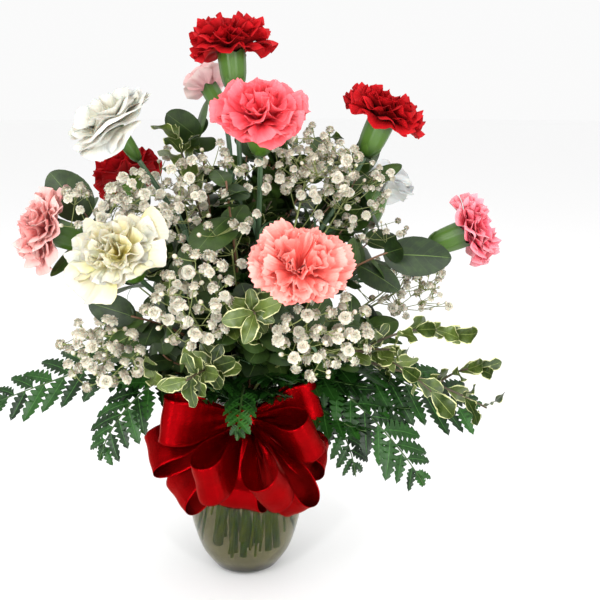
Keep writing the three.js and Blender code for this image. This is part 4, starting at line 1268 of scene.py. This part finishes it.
def add_twig(piece, start, end, radius=0.5):
    middle = start.lerp(end, 0.5) - UP * (0.04 * (end - start).length)
    points = [start, start.lerp(middle, 0.6), middle, end]
    piece.tube(points, [radius, 0.9 * radius, 0.8 * radius, 0.6 * radius], 4, 1)


# Florets scattered round a spray's heart, each on a twig from the nearest fork below it.
def add_more_florets(piece, bend, spray, puffs, rng):
    forks = [bend.on_runs(0.55 + 0.06 * k) for k in range(8)] + list(puffs)
    heads = list(puffs)
    low, high = spray["puff"]
    made = 0
    for _ in range(FLORET_TRIES):
        if made >= spray["more"]:
            break
        within = Vector((rng.uniform(-1, 1), rng.uniform(-1, 1), rng.uniform(-1, 1)))
        point = Vector([c + 1.12 * s * w for c, s, w in zip(spray["heart"], spray["size"], within)])
        if within.length > 1 or point.z < FLORETS_FROM_Z or not off_blooms(point, 5):
            continue
        if any((point - head).length < 1.9 * high for head in heads):
            continue
        fork = min(forks, key=lambda each: (each - point).length + (12 if each.z > point.z else 0))
        add_twig(piece, fork, point, 0.4)
        loose = Vector((rng.uniform(-0.4, 0.4), rng.uniform(-0.4, 0.4), 0.5))
        direction = ((point - fork).normalized() + loose).normalized()
        if rng.random() < BUD_SHARE:
            add_bud(piece, point, direction, 0.36 * high)
        else:
            add_floret(piece, point, direction, rng.uniform(low, high), rng)
        if rng.random() < FORK_SHARE:
            forks.append(point.lerp(fork, 0.35))
        heads.append(point)
        made += 1


def build_spray(spray):
    piece = Piece()
    name = "babys_breath_" + spray["name"]
    seed = spray["seed"]
    tree = points_of(name)
    rng = random.Random(5000 + seed)
    bend = add_stem(piece, spray, 1.3, 0.8, 6)
    puffs = []

    # A twig and its floret, if the part has a puff there.
    def grow(start, end):
        direction = (end - start).normalized()
        if not is_there(tree, end + direction * PUFF_RADIUS):
            return False
        add_twig(piece, start, end)
        add_floret(piece, end, direction, rng.uniform(4.2, 5.4), rng)
        puffs.append(end)
        return True

    for branch in range(BRANCHES):
        start = bend.on_runs(0.72 + 0.27 * branch / (BRANCHES - 1))
        for k in range(BRANCH_TRIES):
            end = drawn_point(spray["heart"], spray["size"], seed, 100 * branch + 5 * k)
            if not grow(start, end):
                continue
            for p in range(PUFFS_ROUND):
                for t in range(PUFF_TRIES):
                    near = drawn_point(end, (PUFF_REACH,) * 3, seed + 50, 100 * branch + 20 * p + 4 * t)
                    if grow(end, near):
                        break
            break
    add_more_florets(piece, bend, spray, puffs, rng)
    made = piece.make(name + "_florets", [FLORET, SPRAY_STEM])
    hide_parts(name)


for spray in SPRAYS:
    build_spray(spray)

# Looser sprays between the others, on thin stems of their own: the turn of the stem in the neck, the heart
# and the size of the spray, how many florets, and their radii.
LOOSE_SPRAYS = [
    (200, (-108, -48, 314), (32, 24, 28), 30, (3.6, 5.0)),
    (262, (-8, -84, 300), (24, 20, 24), 10, (3.6, 5.2)),
    (240, (-9, -38, 346), (36, 26, 24), 27, (3.2, 4.8)),
    (120, (-40, 40, 330), (50, 40, 30), 30, (3.2, 4.6)),
    (40, (92, 56, 296), (42, 34, 36), 34, (3.0, 4.4)),
    (160, (-112, 44, 272), (28, 34, 34), 26, (3.2, 4.6)),
    (330, (84, -10, 330), (34, 28, 34), 60, (2.6, 4.2)),
    (350, (122, -20, 262), (36, 28, 38), 44, (2.2, 3.4)),
]


def build_loose_sprays():
    piece = Piece()
    for number, (turn, middle, size, more, puff) in enumerate(LOOSE_SPRAYS):
        rng = random.Random(6000 + number)
        heart = Vector(middle)
        line = place_in_neck(11, radians(turn))
        stem = stem_of("loose", 3, 0, 40, heart - UP * 8, (heart.x, heart.y, 160), rise=0.45)
        bend = add_stem(piece, stem, 1.1, 0.6, 6, line=line)
        add_more_florets(piece, bend, dict(heart=heart, size=size, more=more, puff=puff), [], rng)
    made = piece.make("babys_breath_loose_florets", [FLORET, SPRAY_STEM])


build_loose_sprays()

# Leafy twigs that fill the bunch between the flowers. Each has its turn round the neck, how far out and how
# high its tip is, and leaves up its outer half.
TWIG_COUNT = 76
# Their heights, how far out the widest of them reach, and the height where they do.
TWIGS_FROM_Z = 205
TWIGS_SPAN = 145
TWIGS_REACH = 116
TWIGS_WIDEST_Z = 235
# The tips of more twigs, behind the florets at the upper right, above the fern at the left, and above
# and to the right of the bloom in the middle.
BACKING = [
    (26, 26, 350), (46, 42, 358), (66, 24, 346), (86, 30, 330), (16, 50, 366), (58, 54, 340), (78, 12, 318),
    (38, 4, 336), (98, 12, 308), (50, 18, 322), (4, 30, 352), (70, 40, 366),
    (-84, -52, 200), (-62, -68, 208), (-104, -44, 206), (-72, -76, 192),
    (50, 40, 308), (36, 46, 318), (64, 34, 300), (94, 20, 300), (116, 14, 292), (104, 26, 312),
]


def build_leafy_twigs():
    eucalyptus = (EUCALYPTUS_KIND, Piece(), 29, 0.84)
    pittosporum = (PITTOSPORUM_KIND, Piece(), 23, 0.56)
    for number in range(TWIG_COUNT + len(BACKING)):
        rng = random.Random(7000 + number)
        kind, piece, size, shape = pittosporum if number % 4 == 3 else eucalyptus
        turn = GOLDEN_TURN * number + rng.uniform(-0.2, 0.2)
        line = place_in_neck(rng.choice((5, 11, 19)), turn)
        if number < TWIG_COUNT:
            height = TWIGS_FROM_Z + TWIGS_SPAN * ((number * 0.618) % 1)
            widest = TWIGS_REACH * sqrt(max(0.1, 1 - ((height - TWIGS_WIDEST_Z) / 130) ** 2))
            out = widest * (0.35 + 0.55 * ((number * 0.382) % 1))
            away = way_out(turn)
            end = away * out + UP * height + Vector((8, 0, 0))
        else:
            end = Vector(BACKING[number - TWIG_COUNT])
            away = Vector((end.x, end.y, 0)).normalized()
        while not off_blooms(end, 10):
            end -= UP * 8
        stem = stem_of("twig", 3, 0, 92, end, away + UP * 1.1, rise=0.45)
        bend = add_stem(piece, stem, 1.0, 0.6, 5, line=line)
        for k in range(9):
            each = size * rng.uniform(0.7, 1.1)
            spread = rng.uniform(0.7, 1.25)
            base, tip, back = leaf_from(bend, mix(0.36, 0.99, k / 8), each, spread, GOLDEN_TURN * k + number)
            if off_blooms(tip, 5) and tip.z > TWIG_LEAVES_FROM_Z and tip.y > TWIG_LEAVES_FROM_Y:
                kind["add_leaf"](piece, base, tip, back, each * shape, rng)
    for kind, piece, _, _ in (eucalyptus, pittosporum):
        made = piece.make(kind["name"] + "_inner_leaves", kind["materials"])


build_leafy_twigs()

# The bow

RIBBON_WIDTH = 37
RIBBON_THICK = 0.2
KNOT = Vector((3, -46, 149))
KNOT_RADIUS = 10
KNOT_ROWS = 12
KNOT_SIDES = 28
# Each loop's tip, the way of the ribbon's width there, and how far it opens.
LOOPS = [
    ((-64, -76, 158), (0.3, 0, 1), 26),
    ((-77, -50, 118), (-0.2, 0.8, 0.55), 27),
    ((-54, -58, 83), (-0.5, 0.9, 0.2), 27),
    ((-32, -116, 118), (0.1, 0.2, -1), 31),
    ((-2, -60, 76), (-0.8, 0.5, 0.1), 30),
    ((21, -114, 106), (0.5, 0.2, -1), 35),
    ((46, -70, 78), (-0.6, 0.8, -0.5), 30),
    ((65, -44, 108), (0.1, 0.9, 0.3), 28),
    ((52, -98, 148), (0.7, 0.2, -1), 31),
    ((60, -46, 164), (0.3, 0.1, -1), 20),
]
# A loop's path starts and ends in the middle of the knot, where the ribbon would be gathered to this share
# of its width. The loop is built from this far round the path to as far before its end.
GATHERED = 0.1
LOOP_START = 0.58
LOOP_STEPS = 44
TIE_WIDTH = 18
TIE_THICK = 0.3
TIE_SIDES = 96


def add_loop(piece, tip, wide, gape, number):
    reach = Vector(tip) - KNOT
    out = reach.normalized()
    across = (Vector(wide) - out * out.dot(Vector(wide))).normalized()
    over = out.cross(across)

    def centre(s):
        opened = 0.68 * gape * sin(s) * sin(s / 2) ** 3
        return KNOT + reach * ((1 - cos(s)) / 2) + over * opened

    rows = []
    travelled = 0.0
    before = None
    for i in range(LOOP_STEPS + 1):
        s = LOOP_START + i / LOOP_STEPS * 2 * (pi - LOOP_START)
        middle = centre(s)
        along = (centre(s + 0.01) - centre(s - 0.01)).normalized()
        face = along.cross(across)
        share = min(1, GATHERED + 1.35 * sin(s / 2) ** 2)
        travelled += (middle - before).length if before else 0.0
        before = middle
        row = []
        for k in range(17):
            v = k / 16 - 0.5
            pleat = 2.6 * (1 - share) * cos(5 * pi * v + number)
            sag = 0.35 * share * cos(3 * pi * v + number) + 0.8 * sin(3 * s + number) * v
            point = middle + across * (v * RIBBON_WIDTH * share) + face * (pleat + sag)
            row.append((point, travelled / RIBBON_WIDTH, v + 0.5))
        rows.append(row)
    piece.grid(rows)
    return travelled


def knot_place(i, k):
    s = pi * i / KNOT_ROWS
    turn = FULL_TURN * k / KNOT_SIDES
    r = KNOT_RADIUS * (1 + 0.1 * cos(7 * turn + 2 * cos(s)) * sin(s))
    level = r * sin(s)
    out = Vector((r * cos(s) * 0.95, level * cos(turn), level * sin(turn)))
    return KNOT + out, i / KNOT_ROWS, k / KNOT_SIDES


# The strap that runs from behind the knot round the neck, to the left (-1) or to the right (1).
def strap_rule(side):
    def place(t, k):
        turn = radians(-90 + side * mix(2, 34, t))
        v = k / 6 - 0.5
        r = vase_radius(NECK_Z) + mix(7.5, 1.6, smooth(0, 1, t)) + 0.5 * cos(4 * pi * v)
        z = mix(KNOT.z - 5, NECK_Z, smooth(0, 0.8, t)) + v * mix(9, 15.5, t)
        return Vector((r * cos(turn), r * sin(turn), z)), t, v + 0.5
    return place


def tie_place(k, i):
    v = k / 8 - 0.5
    turn = FULL_TURN * i / TIE_SIDES
    z = NECK_Z + (TIE_WIDTH - 2) * v + 0.7 * sin(3 * turn) * v
    fold = 0.45 * cos(5 * pi * v + 1.3 * sin(2 * turn)) + 0.25 * sin(11 * turn + 9 * v)
    r = vase_radius(z) + 0.95 + fold
    return Vector((r * cos(turn), r * sin(turn), z)), 6 * i / TIE_SIDES, v + 0.5


def thicken(made, thickness):
    solid = made.modifiers.new("thickness", "SOLIDIFY")
    solid.thickness = thickness * MM
    solid.offset = 0


def build_bow():
    piece = Piece()
    total = sum(add_loop(piece, *loop, number) for number, loop in enumerate(LOOPS))
    piece.surface(range(KNOT_ROWS + 1), range(KNOT_SIDES), knot_place, closed=True)
    for side in (-1, 1):
        piece.surface(shares(11), range(7), strap_rule(side))
    bow = piece.make("bow_ribbon", [SATIN])
    thicken(bow, RIBBON_THICK)
    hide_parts("bow")
    return bow, total


def build_tie():
    piece = Piece()
    piece.surface(range(9), range(TIE_SIDES), tie_place, closed=True)
    tie = piece.make("neck_tie_ribbon", [SATIN])
    thicken(tie, TIE_THICK)
    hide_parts("neck_tie")
    return tie


bow, ribbon_length = build_bow()
tie = build_tie()

# The stage, the lights and the camera, in metres

PALE = (0.98, 0.98, 0.98, 1)
FLOOR_RADIUS = 9
FLOOR_SIDES = 96
SENSOR_WIDTH = 36
FOCAL_SHARE = 1047 / 600
CAMERA_AT = Vector((0, -0.85, 0.42))
CAMERA_AIM = Vector((0.047, 0, 0.235))
# Each light's name, place, aim, width, height and power.
LIGHTS = [
    ("left_strip", (-0.55, -1.15, 0.5), (0, 0, 0.14), 0.07, 0.9, 8),
    ("right_strip", (0.5, -1.2, 0.5), (0, 0, 0.14), 0.07, 0.9, 8),
    ("key", (-0.7, -1.2, 1.35), (0, 0, 0.25), 0.6, 0.6, 5),
    ("fill", (1.2, -0.9, 0.8), (0, 0, 0.25), 0.9, 0.9, 2),
    ("top", (0.1, 0.4, 1.6), (0, 0, 0.3), 0.9, 0.9, 5),
]


def put(name, data):
    made = bpy.data.objects.new(name, data)
    bpy.context.scene.collection.objects.link(made)
    return made


def aim(made, place, target):
    made.location = place
    made.rotation_euler = (Vector(target) - Vector(place)).to_track_quat("-Z", "Y").to_euler()


def build_stage():
    mesh = bpy.data.meshes.new("floor")
    rim = [way_out(FULL_TURN * k / FLOOR_SIDES) * FLOOR_RADIUS for k in range(FLOOR_SIDES)]
    mesh.from_pydata(rim, [], [tuple(range(FLOOR_SIDES))])
    mesh.materials.append(Paint("floor", Base_Color=PALE, Roughness=0.9, Specular_IOR_Level=0.1).material)
    floor = put("floor", mesh)
    world = bpy.data.worlds.new("studio")
    world.use_nodes = True
    background = world.node_tree.nodes["Background"]
    background.inputs["Color"].default_value = (1, 1, 1, 1)
    background.inputs["Strength"].default_value = 0.96
    bpy.context.scene.world = world
    bpy.context.scene.view_settings.view_transform = "Standard"


def add_light(name, place, target, width, height, power):
    light = bpy.data.lights.new(name, "AREA")
    light.shape = "RECTANGLE"
    light.size = width
    light.size_y = height
    light.energy = power
    aim(put(name, light), place, target)


def build_camera():
    camera = bpy.data.cameras.new("camera")
    camera.sensor_width = SENSOR_WIDTH
    camera.lens = FOCAL_SHARE * SENSOR_WIDTH
    made = put("camera", camera)
    aim(made, CAMERA_AT, CAMERA_AIM)
    bpy.context.scene.camera = made


build_stage()
for light in LIGHTS:
    add_light(*light)
build_camera()
